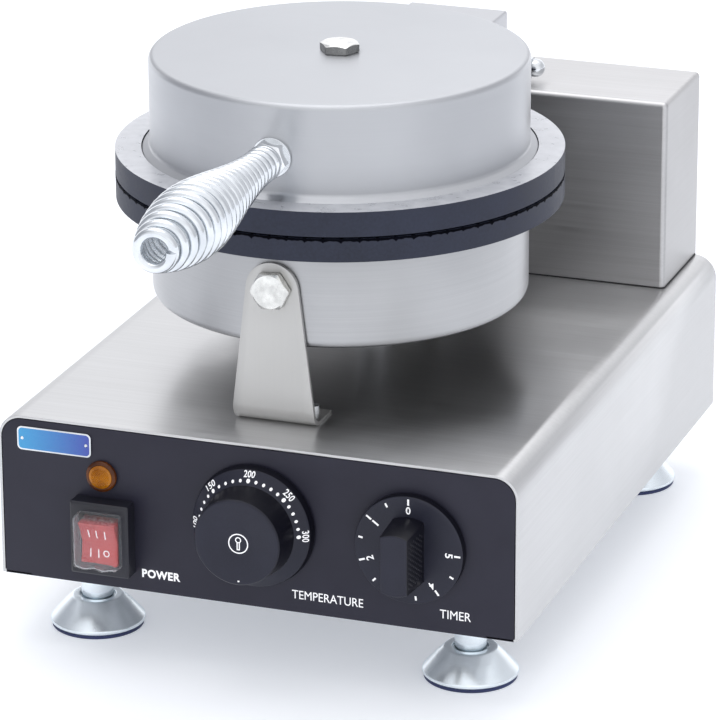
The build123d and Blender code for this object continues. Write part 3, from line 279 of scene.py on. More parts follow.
base_steel = brushed_steel(
    "base_steel", along_x, along_y, "X", (0.55, 0.55, 0.55), (0.67, 0.67, 0.675), (0.30, 0.37)
)
# Painted shade: the box's sides and front are darkened.
box_steel = brushed_steel(
    "box_steel", along_x, along_y, "X", (0.48, 0.475, 0.475), (0.64, 0.635, 0.64), (0.30, 0.38),
    sides=0.75, fronts=0.87,
)
SATIN = (0.34, 0.42)
dome_steel = brushed_steel(
    "dome_steel", round_wall, along_x, "Z", (0.47, 0.48, 0.50), (0.53, 0.54, 0.56), SATIN, 0.4
)
# Painted shade: the pan's underside is darkened.
pan_steel = brushed_steel(
    "pan_steel", round_wall, along_x, "Z", (0.45, 0.455, 0.465), (0.56, 0.565, 0.575), SATIN,
    under=0.4,
)
bracket_steel = brushed_steel(
    "bracket_steel", along_z, along_x, "Z", (0.54, 0.535, 0.52), (0.60, 0.595, 0.58), SATIN, 0.4
)
arm_steel = brushed_steel(
    "arm_steel", along_y, along_x, "Y", (0.48, 0.485, 0.505), (0.55, 0.555, 0.575), SATIN
)
plain_steel = plated("plain_steel", (0.42, 0.42, 0.43), (0.56, 0.56, 0.57), (0.32, 0.48))
zinc = plated("zinc", (0.62, 0.64, 0.66), (0.80, 0.82, 0.84), (0.10, 0.24))
cup_zinc = plated("cup_zinc", (0.80, 0.86, 0.90), (0.88, 0.94, 0.98), (0.23, 0.27))
PITTED = {"rough": (0.16, 0.34), "cloud": 220.0, "pits": 500.0, "depth": 0.25}
bolt_zinc = plated("bolt_zinc", (0.60, 0.60, 0.58), (0.80, 0.80, 0.77), **PITTED)
# Painted shade: the lid bolt's flanks are darkened.
top_zinc = plated("top_zinc", (0.60, 0.60, 0.59), (0.80, 0.80, 0.78), flanks=0.45, **PITTED)
chrome = plated("chrome", (0.66, 0.69, 0.72), (0.82, 0.85, 0.88), (0.08, 0.18), 80.0)

panel_film = moulded(
    "panel_film", (0.016, 0.0155, 0.028), (0.022, 0.0215, 0.036), (0.40, 0.50), 2600.0, 0.06,
    Specular_IOR_Level=0.3,
)
# Painted shade: the knobs' cheeks are darker.
knob_plastic = moulded(
    "knob_plastic", (0.0115, 0.0122, 0.0235), (0.0175, 0.0185, 0.0335), (0.34, 0.46), 1500.0,
    cheeks=(0.0030, 0.0030, 0.0075), Specular_IOR_Level=0.32,
)
case_plastic = moulded("case_plastic", (0.008, 0.0082, 0.014), (0.016, 0.0165, 0.026), (0.34, 0.50))
inner_plastic = moulded("inner_plastic", (0.35, 0.33, 0.29), (0.50, 0.48, 0.43), (0.45, 0.60))
# Near-black matt material for the painted shadow in the plate seam
seam_shadow = moulded(
    "seam_shadow", (0.0004, 0.0005, 0.0015), (0.0020, 0.0022, 0.0050), (0.6, 0.8), Specular_IOR_Level=0.03
)
rubber = moulded("rubber", (0.012, 0.020, 0.075), (0.022, 0.034, 0.12), (0.50, 0.66))
# Black rubber, also used for the painted shadow strip at the rear box's foot
black_rubber_and_shadow = moulded("black_rubber_and_shadow", (0.012, 0.012, 0.013), (0.024, 0.024, 0.026), (0.55, 0.72))
# The white print glows a little: painted light that brightens it.
print_white = moulded(
    "print_white", (0.84, 0.84, 0.85), (0.92, 0.92, 0.93), (0.45, 0.60),
    Emission_Color=(1.0, 1.0, 1.0, 1.0), Emission_Strength=0.22,
)
rocker_red = moulded(
    "rocker_red", (0.45, 0.022, 0.026), (0.62, 0.052, 0.05), (0.22, 0.34), 900.0, 0.10
)
brass = plated("brass", (0.55, 0.40, 0.18), (0.70, 0.52, 0.26), (0.22, 0.36))
ceramic = moulded("ceramic", (0.66, 0.63, 0.56), (0.80, 0.77, 0.70), (0.55, 0.75))
wool = moulded("wool", (0.50, 0.46, 0.33), (0.72, 0.68, 0.52), (0.85, 0.95), 500.0, 0.9)
heater = plated("heater", (0.16, 0.15, 0.14), (0.30, 0.27, 0.24), (0.40, 0.55))
# The upper plate is bare over its ledge, and the lower plate nowhere
upper_coat = plate_coat("upper_coat", low("upper_plate").z + 8.0)
lower_coat = plate_coat("lower_coat", high("upper_plate").z + 50.0)


def clear_moulding():
    """Clear, slightly hazy and uneven moulding of the splash boot."""
    s = Surface("boot_clear", Transmission_Weight=0.95, IOR=1.2)
    haze = s.noise(260.0, detail=4.0)
    tint = s.blend(haze, (0.93, 0.95, 0.98), (1.0, 1.0, 1.0))
    bump = s.relief(s.noise(420.0, detail=2.0), 0.18, 0.0004)
    return s.set(Base_Color=tint, Roughness=s.remap(haze, 0.3, 0.7, 0.04, 0.12), Normal=bump)


def amber_plastic(name, dark, light, glow):
    """Lamp plastic that glows a little in its own colour."""
    s = Surface(name, Emission_Strength=glow, Specular_IOR_Level=0.3)
    patch = s.noise(160.0, detail=4.0)
    base = s.blend(s.remap(patch, 0.35, 0.65), dark, light)
    bump = s.relief(s.noise(700.0, detail=2.0), 0.12, 0.0001)
    return s.set(
        Emission_Color=base,
        Base_Color=base,
        Roughness=s.remap(patch, 0.3, 0.7, 0.10, 0.22),
        Normal=bump,
    )


def enamel():
    """Blue enamel that deepens towards the right, under a clear varnish."""
    s = Surface("plate_enamel", Coat_Weight=0.4, Coat_Roughness=0.08)
    lo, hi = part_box("name_plate")
    slide = s.remap(s.part("X"), lo.x, hi.x)
    fleck = s.noise(1600.0, detail=2.0)
    slide = s.maths("ADD", slide, s.remap(fleck, 0.3, 0.7, -0.06, 0.06), clamp=True)
    base = s.blend(slide, (0.035, 0.33, 0.64), (0.035, 0.055, 0.37))
    return s.set(Base_Color=base, Roughness=s.remap(fleck, 0.3, 0.7, 0.25, 0.4))


boot_clear = clear_moulding()
lamp_amber = amber_plastic("lamp_amber", (0.25, 0.078, 0.002), (0.42, 0.15, 0.005), 0.05)
lamp_brown = amber_plastic("lamp_brown", (0.045, 0.010, 0.001), (0.115, 0.030, 0.003), 0.02)
plate_enamel = enamel()


# ---- mesh helpers
def rounded(points, steps=5, closed=False):
    """Outline through (x, y, radius) corners with each corner rounded off."""
    outline = []
    for i, (x, y, radius) in enumerate(points):
        corner = Vector((x, y))
        if radius <= 0 or (not closed and i in (0, len(points) - 1)):
            outline.append(corner)
            continue
        back = (Vector(points[i - 1][:2]) - corner).normalized()
        ahead = (Vector(points[(i + 1) % len(points)][:2]) - corner).normalized()
        half = back.angle(ahead) / 2
        centre = corner + (back + ahead).normalized() * (radius / math.sin(half))
        start = corner + back * (radius / math.tan(half)) - centre
        end = corner + ahead * (radius / math.tan(half)) - centre
        first = math.atan2(start.y, start.x)
        turn = (math.atan2(end.y, end.x) - first + math.pi) % (2 * math.pi) - math.pi
        for k in range(steps + 1):
            angle = first + turn * k / steps
            outline.append(centre + radius * Vector((math.cos(angle), math.sin(angle))))
    return outline


def join_rings(bm, rings, closed=True):
    """Quads between rings of vertices; a ring of one vertex is a pole."""
    for a, b in zip(rings, rings[1:]):
        count = max(len(a), len(b))
        for i in range(count if closed else count - 1):
            j = (i + 1) % count
            corners = (a[i % len(a)], b[i % len(b)], b[j % len(b)], a[j % len(a)])
            bm.faces.new(tuple(dict.fromkeys(corners)))


def circle(radius, steps):
    """Points round a circle, or the one point of a pole."""
    turns = (2 * math.pi * i / steps for i in range(steps if radius else 1))
    return [(radius * math.cos(t), radius * math.sin(t)) for t in turns]


def rectangle(w, h, r, steps=4):
    w, h = w / 2, h / 2
    return rounded([(-w, -h, r), (-w, h, r), (w, h, r), (w, -h, r)], steps, True)


def stack(bm, levels, spot, ending="open"):
    """Skin over (outline, height) levels: open, with caps, or closed into a loop."""
    rings = [[bm.verts.new(spot @ Vector((x, y, z))) for x, y in line] for line, z in levels]
    join_rings(bm, rings + rings[:1] if ending == "loop" else rings)
    if ending == "caps":
        bm.faces.new(rings[0])
        bm.faces.new(rings[-1])


def lathe(bm, profile, spot, steps=96):
    """Body of revolution about local Z from (radius, height) points."""
    stack(bm, [(circle(r, steps), z) for r, z in profile], spot)


def prism(bm, outline, spot, z0, z1):
    """Straight solid over a closed outline."""
    stack(bm, [(outline, z0), (outline, z1)], spot, "caps")


def bevelled(bm, width, angle):
    """Rounds the edges that turn by more than the angle."""
    bmesh.ops.recalc_face_normals(bm, faces=bm.faces)
    edges = [
        e
        for e in bm.edges
        if len(e.link_faces) == 2 and e.calc_face_angle(0) > math.radians(angle)
    ]
    bmesh.ops.bevel(
        bm, geom=edges, offset=width, segments=2, profile=0.5,
        affect="EDGES", clamp_overlap=True,
    )


def add(name, data):
    """Puts a new object into the scene."""
    made = bpy.data.objects.new(name, data)
    bpy.context.scene.collection.objects.link(made)
    return made


def piece(name, bm, material, body, *nodes, angle=32):
    """Turns a millimetre bmesh into a piece that rides on body and stands for nodes."""
    bmesh.ops.scale(bm, vec=(MM, MM, MM), verts=bm.verts)
    bmesh.ops.recalc_face_normals(bm, faces=bm.faces)
    mesh = bpy.data.meshes.new(name)
    bm.to_mesh(mesh)
    bm.free()
    mesh.shade_smooth()
    mesh.set_sharp_from_angle(angle=math.radians(angle))
    mesh.materials.append(material)
    made = add(name, mesh)
    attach(made, body)
    if nodes:
        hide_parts(*nodes)


def hex_head(bm, spot, flats, height, turn, washer=0.0):
    """Chamfered hexagon head standing on local Z = 0."""
    steps, cut = 72, math.radians(30)
    flat = flats / 2
    face = flat * 0.95
    rim, top, inner = [], [], []
    for i in range(steps):
        angle = 2 * math.pi * i / steps
        away = (angle + math.pi / 6) % (math.pi / 3) - math.pi / 6
        radius = min(flat / math.cos(away), flat / math.cos(math.pi / 6) * 0.985)
        drop = max(0.0, radius - face) * math.tan(cut)
        way = Vector((math.cos(angle + turn), math.sin(angle + turn), 0))
        rim.append(bm.verts.new(spot @ (way * radius + Vector((0, 0, washer)))))
        top.append(bm.verts.new(spot @ (way * radius + Vector((0, 0, height - drop)))))
        inner.append(bm.verts.new(spot @ (way * face + Vector((0, 0, height)))))
    join_rings(bm, [rim, top, inner])
    bm.faces.new(inner)
    bm.faces.new(rim)
    if washer:
        top_of_washer = washer + 0.1
        face_ring = [(0, 0), (flat * 0.92, 0), (face, top_of_washer), (0, top_of_washer)]
        lathe(bm, face_ring, spot, 48)


RAISED = 0.06  # how far printed marks stand out and reach in


def glyphs(bm, text, width, height, put, bold):
    """Raised lettering of the given size; put turns its (x, y, z) into a place."""
    curve = bpy.data.curves.new("glyphs", "FONT")
    curve.body, curve.size, curve.offset = text, 1.0, bold
    curve.resolution_u, curve.extrude, curve.space_character = 5, 0.01, 1.0 + 3.0 * bold
    holder = add("glyphs", curve)
    bpy.context.view_layer.update()
    drawn = holder.evaluated_get(bpy.context.evaluated_depsgraph_get())
    mesh = bpy.data.meshes.new_from_object(drawn)
    points = [v.co.copy() for v in mesh.vertices]
    lo = Vector(tuple(min(p[i] for p in points) for i in range(3)))
    hi = Vector(tuple(max(p[i] for p in points) for i in range(3)))
    verts = []
    for p in points:
        x = ((p.x - lo.x) / (hi.x - lo.x) - 0.5) * width
        y = ((p.y - lo.y) / (hi.y - lo.y) - 0.5) * height
        verts.append(bm.verts.new(put(x, y, RAISED if p.z > 0 else -RAISED)))
    for polygon in mesh.polygons:
        corners = [verts[i] for i in polygon.vertices]
        if len(set(corners)) > 2:
            bm.faces.new(corners)
    bpy.data.objects.remove(holder)
    bpy.data.curves.remove(curve)
    bpy.data.meshes.remove(mesh)


def dress(material, *nodes, edge=0.0):
    """Gives CAD nodes that stay in view their material and soft edges."""
    for name in nodes:
        node = frame["nodes"][name]
        for slot in node.material_slots:
            slot.material = material
        if edge:
            weld = node.modifiers.new("weld", "WELD")
            weld.merge_threshold = 0.00001
            bevel = node.modifiers.new("edges", "BEVEL")
            bevel.width, bevel.segments = edge * MM, 2
            bevel.limit_method, bevel.angle_limit = "ANGLE", math.radians(50)
            bevel.use_clamp_overlap = True
            node.modifiers.new("normals", "WEIGHTED_NORMAL").keep_sharp = True


# ---- base housing
BEND = 12.0
SHEET = 1.5
FLANGE = 14.0
half_w, floor_z = shell_hi.x, shell_lo.z
inner_w = half_w - SHEET

section = rounded(
    [
        (-half_w, floor_z, 0),
        (-half_w, top_z, BEND),
        (half_w, top_z, BEND),
        (half_w, floor_z, 0),
        (inner_w - FLANGE, floor_z, 0),
        (inner_w - FLANGE, floor_z + SHEET, 0),
        (inner_w, floor_z + SHEET, 0),
        (inner_w, top_z - SHEET, BEND - SHEET),
        (-inner_w, top_z - SHEET, BEND - SHEET),
        (-inner_w, floor_z + SHEET, 0),
        (FLANGE - inner_w, floor_z + SHEET, 0),
        (FLANGE - inner_w, floor_z, 0),
    ],
    steps=12,
    closed=True,
)
bm = bmesh.new()
prism(bm, section, facing_front(0, 0), panel_y - back_y, 0)
bevelled(bm, 0.4, angle=50)
piece("housing", bm, base_steel, "base", "base_shell")

# Panel with rounded upper corners that closes the front end of the housing
panel_lo, panel_hi = ends("front_panel")
PANEL_T, PANEL_CORNER = 1.5, BEND - SHEET - 0.3
panel_outline = rounded(
    [
        (panel_lo.x, panel_lo.z, 0),
        (panel_lo.x, panel_hi.z, PANEL_CORNER),
        (panel_hi.x, panel_hi.z, PANEL_CORNER),
        (panel_hi.x, panel_lo.z, 0),
    ],
    steps=12,
    closed=True,
)
bm = bmesh.new()
prism(bm, panel_outline, facing_front(0, 0), -PANEL_T, 0)
bevelled(bm, 0.2, angle=50)
piece("control_panel", bm, panel_film, "base", "front_panel")
dress(base_steel, "rear_panel")
dress(box_steel, "box_cover", "rear_box")
dress(plain_steel, "bottom_cover")

# Painted shadow in the joint between the rear box and the base: a dark strip where the gap's shadow
# line falls
box_lo, box_hi = ends("rear_box")


def box_frame(grow):
    """Outline round the rear box, larger on the sides that show."""
    x0, x1 = box_lo.x - grow, box_hi.x + grow
    y0, y1 = box_lo.y - grow, box_hi.y - 1.0
    return rounded([(x0, y0, 2.5), (x0, y1, 0.5), (x1, y1, 0.5), (x1, y0, 2.5)], 4, True)


bm = bmesh.new()
shadow_rows = ((0.35, 0.02), (0.35, 0.75), (-0.5, 0.75), (-0.5, 0.02))
stack(bm, [(box_frame(grow), z) for grow, z in shadow_rows], up(0, 0, top_z), "loop")
piece("box_foot_shadow", bm, black_rubber_and_shadow, "base")
dress(zinc, "back_screws", "bottom_screws", "bracket_screws", "arm_screws", edge=0.3)
dress(case_plastic, "cable_gland", "gland_nut", edge=0.4)

# Blank name plate: bright rim round a blue enamel field, held by two rivets
tag = middle("name_plate")
tag_lo, tag_hi = ends("name_plate")
tag_w, tag_h = tag_hi.x - tag_lo.x, tag_hi.z - tag_lo.z
tag_t = panel_y - tag_lo.y
TAG_RIM, TAG_CORNER, FIELD_CORNER = 0.8, 2.4, 1.92
bm = bmesh.new()
prism(bm, rectangle(tag_w, tag_h, TAG_CORNER, 6), facing_front(tag.x, tag.z), 0, tag_t)
bevelled(bm, 0.25, angle=50)
for side in (-1, 1):
    spot = facing_front(tag.x + side * (tag_w / 2 - 2.6), tag.z)
    lathe(bm, [(0, tag_t + 0.55), (0.5, tag_t + 0.45), (0.85, tag_t + 0.1), (0.85, 0.2)], spot, 24)
piece("tag_rim", bm, zinc, "base", "name_plate")
field = rectangle(tag_w - 2 * TAG_RIM, tag_h - 2 * TAG_RIM, FIELD_CORNER, 6)
bm = bmesh.new()
prism(bm, field, facing_front(tag.x, tag.z), tag_t - 0.2, tag_t + 0.08)
piece("tag_field", bm, plate_enamel, "base")


def on_panel(x, z):
    """Places flat lettering on the control panel round (x, z)."""
    return lambda a, b, c: Vector((x + a, panel_y - 0.03 - c, z + b))


bm = bmesh.new()
glyphs(bm, "POWER", 19.5, 4.3, on_panel(-47.7, 44.6), 0.035)
glyphs(bm, "TEMPERATURE", 35.5, 4.3, on_panel(36.4, 44.4), 0.0)
glyphs(bm, "TIMER", 15.2, 4.3, on_panel(99.6, 44.7), 0.0)
piece("panel_words", bm, print_white, "base")

# ---- feet
cup_lo, cup_hi = ends("foot_cups")
post_lo, post_hi = ends("foot_posts")
FOOT_R = 23.2
POST_R, STUD_R = 7.8, 4
foot_spots = [
    up(x, y, 0)
    for x in (cup_lo.x + FOOT_R, cup_hi.x - FOOT_R)
    for y in (cup_lo.y + FOOT_R, cup_hi.y - FOOT_R)
]
pad_top, cup_top = high("foot_pads").z, cup_hi.z
bell = rounded(
    [
        (0, pad_top, 0),
        (FOOT_R - 1.0, pad_top, 0.4),
        (FOOT_R, pad_top + 1.0, 0.5),
        (FOOT_R - 0.1, pad_top + 2.3, 1.3),
        (FOOT_R - 6.5, cup_top - 4.3, 9.0),
        (12.4, cup_top, 2.2),
        (8.9, cup_top, 0.5),
        (8.5, cup_top - 1.5, 0.3),
        (0, cup_top - 1.5, 0),
    ],
    steps=6,
)
bm = bmesh.new()
for spot in foot_spots:
    lathe(bm, bell, spot, 96)
piece("foot_bells", bm, cup_zinc, "base", "foot_cups", angle=50)

SOLE_R = 22.4
sole = rounded([(0, 0, 0), (SOLE_R, 0, 0.4), (SOLE_R, pad_top, 0.4), (0, pad_top, 0)], 4)
bm = bmesh.new()
for spot in foot_spots:
    lathe(bm, sole, spot, 96)
piece("foot_soles", bm, rubber, "base", "foot_pads")

shoulder = floor_z + 1.4
post = [
    (0, post_lo.z, 0),
    (POST_R, post_lo.z, 0.2),
    (POST_R, shoulder, 0.6),
    (STUD_R, shoulder, 0),
    (STUD_R, post_hi.z, 0.5),
    (0, post_hi.z, 0),
]
bm = bmesh.new()
for spot in foot_spots:
    lathe(bm, rounded(post, 4), spot, 64)
piece("foot_stems", bm, cup_zinc, "base", "foot_posts")
dress(zinc, "foot_nuts", edge=0.3)

# ---- power switch
case = middle("switch_housing")
case_lo, case_hi = ends("switch_housing")
case_w, case_h, case_out = case_hi.x - case_lo.x, case_hi.z - case_lo.z, panel_y - case_lo.y
WELL_W, WELL_H = 19.6, 25.4
front_spot = facing_front(case.x, case.z)

bm = bmesh.new()
levels = [
    (rectangle(case_w, case_h, 0.8), 0),
    (rectangle(case_w, case_h, 0.8), case_out - 1.0),
    (rectangle(case_w - 1.7, case_h - 1.7, 0.8), case_out - 0.1),
    (rectangle(case_w - 2.2, case_h - 2.2, 0.8), case_out),
    (rectangle(WELL_W + 0.8, WELL_H + 0.8, 0.8), case_out),
    (rectangle(WELL_W + 0.2, WELL_H + 0.2, 0.6), case_out - 0.4),
    (rectangle(WELL_W, WELL_H, 0.5), case_out - 1.0),
    (rectangle(WELL_W, WELL_H, 0.5), -16.0),
    (rectangle(21.6, 28.6, 0.5), -18.0),
    (rectangle(21.6, 28.6, 0.5), 0),
]
stack(bm, levels, front_spot, "loop")
piece("switch_case", bm, case_plastic, "base", "switch_housing")

dress(rocker_red, "switch_rocker", edge=0.5)

ROCKER_TILT = 6.0
ROCKER_FRONT, ROCKER_DIP, ROCKER_HALF = 11.4, 2.2, 10.9
rocker_joint = next(j for j in frame["joints"] if j["name"] == "rocker_tip")
rocker_axis = Vector(rocker_joint["pos_m"]) / MM
rocker_turn = (
    Matrix.Translation(rocker_axis)
    @ Matrix.Rotation(math.radians(ROCKER_TILT), 4, "X")
    @ Matrix.Translation(-rocker_axis)
)


def on_rocker(x, z):
    """Places a mark on the rocker's face, which is a shallow V, z above its middle."""
    def put(a, b, c):
        height = z + b
        out = ROCKER_FRONT - ROCKER_DIP * (1 - abs(height) / ROCKER_HALF) + 0.03 + c
        return rocker_turn @ Vector((case.x + x + a, panel_y - out, case.z + height))

    return put


def stroke_ring(bm, put, radius, width):
    """Raised ring mark."""
    near, far = radius - width / 2, radius + width / 2
    rings = [
        [bm.verts.new(put(x, y, z)) for x, y in circle(r, 40)]
        for r, z in ((near, 0), (near, RAISED), (far, RAISED), (far, 0))
    ]
    join_rings(bm, rings + rings[:1])


def stroke(bm, put, corners):
    """Raised flat mark over a polygon of (x, y) corners."""
    rings = [[bm.verts.new(put(x, y, z)) for x, y in corners] for z in (-RAISED, RAISED)]
    join_rings(bm, rings)
    bm.faces.new(rings[0])
    bm.faces.new(rings[1])


def bar_mark(width, height, x=0.0, y=0.0):
    w, h = width / 2, height / 2
    return [(x - w, y - h), (x + w, y - h), (x + w, y + h), (x - w, y + h)]


bm = bmesh.new()
for x in (-4.4, 0.0, 4.4):
    stroke(bm, on_rocker(x, 5.0), bar_mark(0.55, 4.6))
    if x < 2:
        stroke(bm, on_rocker(x, -5.6), bar_mark(0.55, 4.2))
stroke_ring(bm, on_rocker(4.4, -5.0), 1.45, 0.5)
piece("rocker_marks", bm, print_white, "rocker")

boot = middle("switch_boot")
boot_lo, boot_hi = ends("switch_boot")
boot_w, boot_h = boot_hi.x - boot_lo.x, boot_hi.z - boot_lo.z
boot_out = panel_y - boot_lo.y
boot_spot = facing_front(boot.x, boot.z)
CORNER_STEPS, SIDE_STEPS = 8, 18
WAVE_DEPTH, WAVE_LENGTH = 0.55, 9.5


def boot_ring(bm, inset, z, r):
    """Rounded rectangle whose lower side dips in two soft waves."""
    ring = rectangle(boot_w - 2 * inset, boot_h - 2 * inset, r, CORNER_STEPS)
    dense = []
    for i, p in enumerate(ring):
        q = ring[(i + 1) % len(ring)]
        straight = i % (CORNER_STEPS + 1) == CORNER_STEPS
        parts = SIDE_STEPS if straight else 1
        dense += [p.lerp(q, k / parts) for k in range(parts)]
    made = []
    share = (z - case_out) / (boot_out - case_out)
    for p in dense:
        wave = WAVE_DEPTH * (1 + math.cos(2 * math.pi * p.x / WAVE_LENGTH + 0.6)) * share
        lift = wave if p.y < -boot_h / 2 + 4 else 0.0
        made.append(bm.verts.new(boot_spot @ Vector((p.x, p.y + lift, z))))
    return made


bm = bmesh.new()
WALL = 0.55
boot_foot = case_out + 0.02
outer = [
    (0.0, boot_foot, 2.0),
    (0.05, boot_out - 1.4, 2.0),
    (0.35, boot_out - 0.5, 1.8),
    (0.9, boot_out - 0.12, 1.6),
    (1.6, boot_out, 1.4),
]
inner = [
    (WALL, boot_foot, 1.6),
    (WALL, boot_out - 1.9, 1.6),
    (WALL + 0.3, boot_out - 1.1, 1.4),
    (WALL + 0.8, boot_out - WALL, 1.2),
]
rings = [boot_ring(bm, *row) for row in outer]
bm.faces.new(rings[-1])
inside = [boot_ring(bm, *row) for row in inner]
bm.faces.new(inside[-1])
join_rings(bm, rings)
join_rings(bm, inside)
join_rings(bm, [rings[0], inside[0]])
piece("splash_boot", bm, boot_clear, "base", "switch_boot", angle=60)

# ---- indicator lamp
lamp = middle("lamp_body")
LAMP_R = 7.7
lamp_spot = facing_front(lamp.x, lamp.z)
bm = bmesh.new()
rim = [
    (0, -6, 0),
    (6.0, -6, 0),
    (6.0, 0, 0),
    (LAMP_R, 0, 0.1),
    (LAMP_R, 1.6, 0.9),
    (5.9, 2.3, 0.5),
    (5.7, 1.5, 0.2),
    (0, 1.5, 0),
]
lathe(bm, rounded(rim, 5), lamp_spot, 64)
piece("lamp_rim", bm, lamp_brown, "base", "lamp_body")

bm = bmesh.new()
LENS_R, CELLS = 5.75, 56
FACETED, FACET_PITCH, FACET_HEIGHT = 0.82, 1.25, 0.5
grid = {}
for i in range(-CELLS, CELLS + 1):
    for j in range(-CELLS, CELLS + 1):
        # square cell to disc, so the border is a clean circle
        u, v = i / CELLS, j / CELLS
        x = LENS_R * u * math.sqrt(1 - v * v / 2)
        y = LENS_R * v * math.sqrt(1 - u * u / 2)
        r = math.hypot(x, y) / LENS_R
        facet = 0.0
        if r < FACETED:
            a = abs(((x + y) / FACET_PITCH) % 1.0 - 0.5) * 2
            b = abs(((x - y) / FACET_PITCH) % 1.0 - 0.5) * 2
            facet = FACET_HEIGHT * min(a, b) * min(1.0, (FACETED - r) / 0.06)
        crown = 3.3 - 1.1 * r * r
        grid[i, j] = bm.verts.new(lamp_spot @ Vector((x, y, crown + facet)))
for i in range(-CELLS, CELLS):
    for j in range(-CELLS, CELLS):
        bm.faces.new((grid[i, j], grid[i + 1, j], grid[i + 1, j + 1], grid[i, j + 1]))
border = [e for e in bm.edges if len(e.link_faces) == 1]
skirt = bmesh.ops.extrude_edge_only(bm, edges=border)
for v in skirt["geom"]:
    if isinstance(v, bmesh.types.BMVert):
        v.co.y = panel_y - 1.6
bottom = [e for e in bm.edges if len(e.link_faces) == 1]
bmesh.ops.holes_fill(bm, edges=bottom, sides=0)
piece("lamp_glass", bm, lamp_amber, "base", "lamp_lens", angle=25)

# ---- temperature knob
temp = middle("temperature_knob")
temp_spot = facing_front(temp.x, temp.z)
DIAL_R, RIM_OUT = 29.4, 6.0
SKIRT_R = DIAL_R - 0.7
GRIP_R0, GRIP_R1, GRIP_OUT = 22.8, 21.2, 10.0
knob_out = panel_y - low("temperature_knob").y
DISH = 2.2
profile = [
    (0, 2.0, 0),
    (19.5, 2.0, 0),
    (21.0, 0.9, 0.3),
    (DIAL_R - 0.6, 0.9, 0.3),
    (DIAL_R + 0.9, 1.3, 0.3),
    (DIAL_R, RIM_OUT - 0.6, 0.35),
    (SKIRT_R, RIM_OUT, 0.35),
    (GRIP_R0 + 0.1, GRIP_OUT, 0.5),
    (GRIP_R1 + 0.1, knob_out - 0.9, 0.3),
    (GRIP_R1 - 0.6, knob_out - 0.1, 0.35),
    (GRIP_R1 - 1.6, knob_out, 0.35),
    (16.0, knob_out - 0.55, 6.0),
    (7.5, knob_out - DISH, 4.0),
    (0, knob_out - DISH, 0),
]
bm = bmesh.new()
lathe(bm, rounded(profile, 6), temp_spot, 144)
piece("temp_dial", bm, knob_plastic, "temperature_dial", "temperature_knob", angle=28)

skirt_slope = (GRIP_OUT - RIM_OUT) / (SKIRT_R - GRIP_R0)


def on_skirt(angle, radius):
    """Places a mark on the dial's conical skirt, its top pointing outwards."""
    def put(a, b, c):
        r = radius + b
        t = math.radians(angle) - a / radius
        out = RIM_OUT + (SKIRT_R - r) * skirt_slope + 0.04 + c
        return temp_spot @ Vector((r * math.cos(t), r * math.sin(t), out))

    return put


DOTS, DOT_R, FIGURE_R = 21, 24.9, 27.7
bm = bmesh.new()
for step in range(DOTS):
    angle = 180 - 9 * step
    major = step % 5 == 0
    stroke(bm, on_skirt(angle, DOT_R), circle(0.92 if major else 0.72, 16))
    if major:
        glyphs(bm, str(100 + 10 * step), 5.6, 2.8, on_skirt(angle, FIGURE_R), 0.015)


FLAT_R, SLOPE_W = 9, 10.6


def on_face(x, y):
    """Places a mark on the knob's dished face, which is flat in the middle."""
    def put(a, b, c):
        far = max(0.0, math.hypot(x + a, y + b) - FLAT_R)
        out = knob_out - DISH * (1 - (far / SLOPE_W) ** 1.5)
        return temp_spot @ Vector((x + a, y + b, min(out, knob_out) + 0.06 + c))

    return put


stroke_ring(bm, on_face(0.2, -1.1), 4.7, 0.55)
stroke_ring(bm, on_face(0.2, 0.7), 1.25, 0.5)
stroke(bm, on_face(0.2, -2.2), bar_mark(0.5, 3.6, -0.55))
stroke(bm, on_face(0.2, -2.2), bar_mark(0.5, 3.6, 0.55))
stroke(bm, on_face(0.2, -2.2), bar_mark(1.6, 0.5, 0.0, -1.9))
stroke(bm, on_face(0.9, -19.0), circle(0.5, 16))
piece("temp_marks", bm, print_white, "temperature_dial")

# ---- timer knob
timer = middle("timer_knob")
timer_spot = facing_front(timer.x, timer.z)
DISC_R = 26.6
timer_out = panel_y - low("timer_knob").y
bm = bmesh.new()
disc = [
    (0, 2.0, 0),
    (18, 2.0, 0),
    (19, 0.9, 0.3),
    (DISC_R - 0.4, 0.9, 0.2),
    (DISC_R, 1.3, 0.2),
    (DISC_R, RIM_OUT - 0.1, 0.5),
    (DISC_R - 1.5, RIM_OUT, 0.3),
    (0, RIM_OUT, 0),
]
lathe(bm, rounded(disc, 5), timer_spot, 144)
piece("timer_disc", bm, knob_plastic, "timer_dial", "timer_knob", angle=28)


def bar_outline(half_width, radius, steps=14):
    """Upright bar closed by arcs above and below."""
    reach = math.asin(half_width / radius)
    arc = [math.pi / 2 - reach + 2 * reach * k / steps for k in range(steps + 1)]
    upper = [Vector((radius * math.cos(t), radius * math.sin(t))) for t in arc]
    return upper + [Vector((-p.x, -p.y)) for p in upper]


BAR_W, BAR_R = 13.0, 15.0
bm = bmesh.new()
levels = [
    (BAR_W / 2 + 1.15, BAR_R + 1.6, RIM_OUT - 0.1),
    (BAR_W / 2 + 1.0, BAR_R + 1.4, RIM_OUT + 1.6),
    (BAR_W / 2 + 0.25, BAR_R + 0.35, timer_out - 0.9),
    (BAR_W / 2 - 0.1, BAR_R, timer_out - 0.25),
    (BAR_W / 2 - 0.7, BAR_R - 0.6, timer_out),
    (BAR_W / 2 - 1.0, BAR_R - 0.9, timer_out - 0.12),
    (BAR_W / 2 - 1.3, BAR_R - 1.2, timer_out - 0.12),
]
stack(bm, [(bar_outline(w, r), z) for w, r, z in levels], timer_spot, "caps")
piece("timer_grip", bm, knob_plastic, "timer_dial", angle=30)

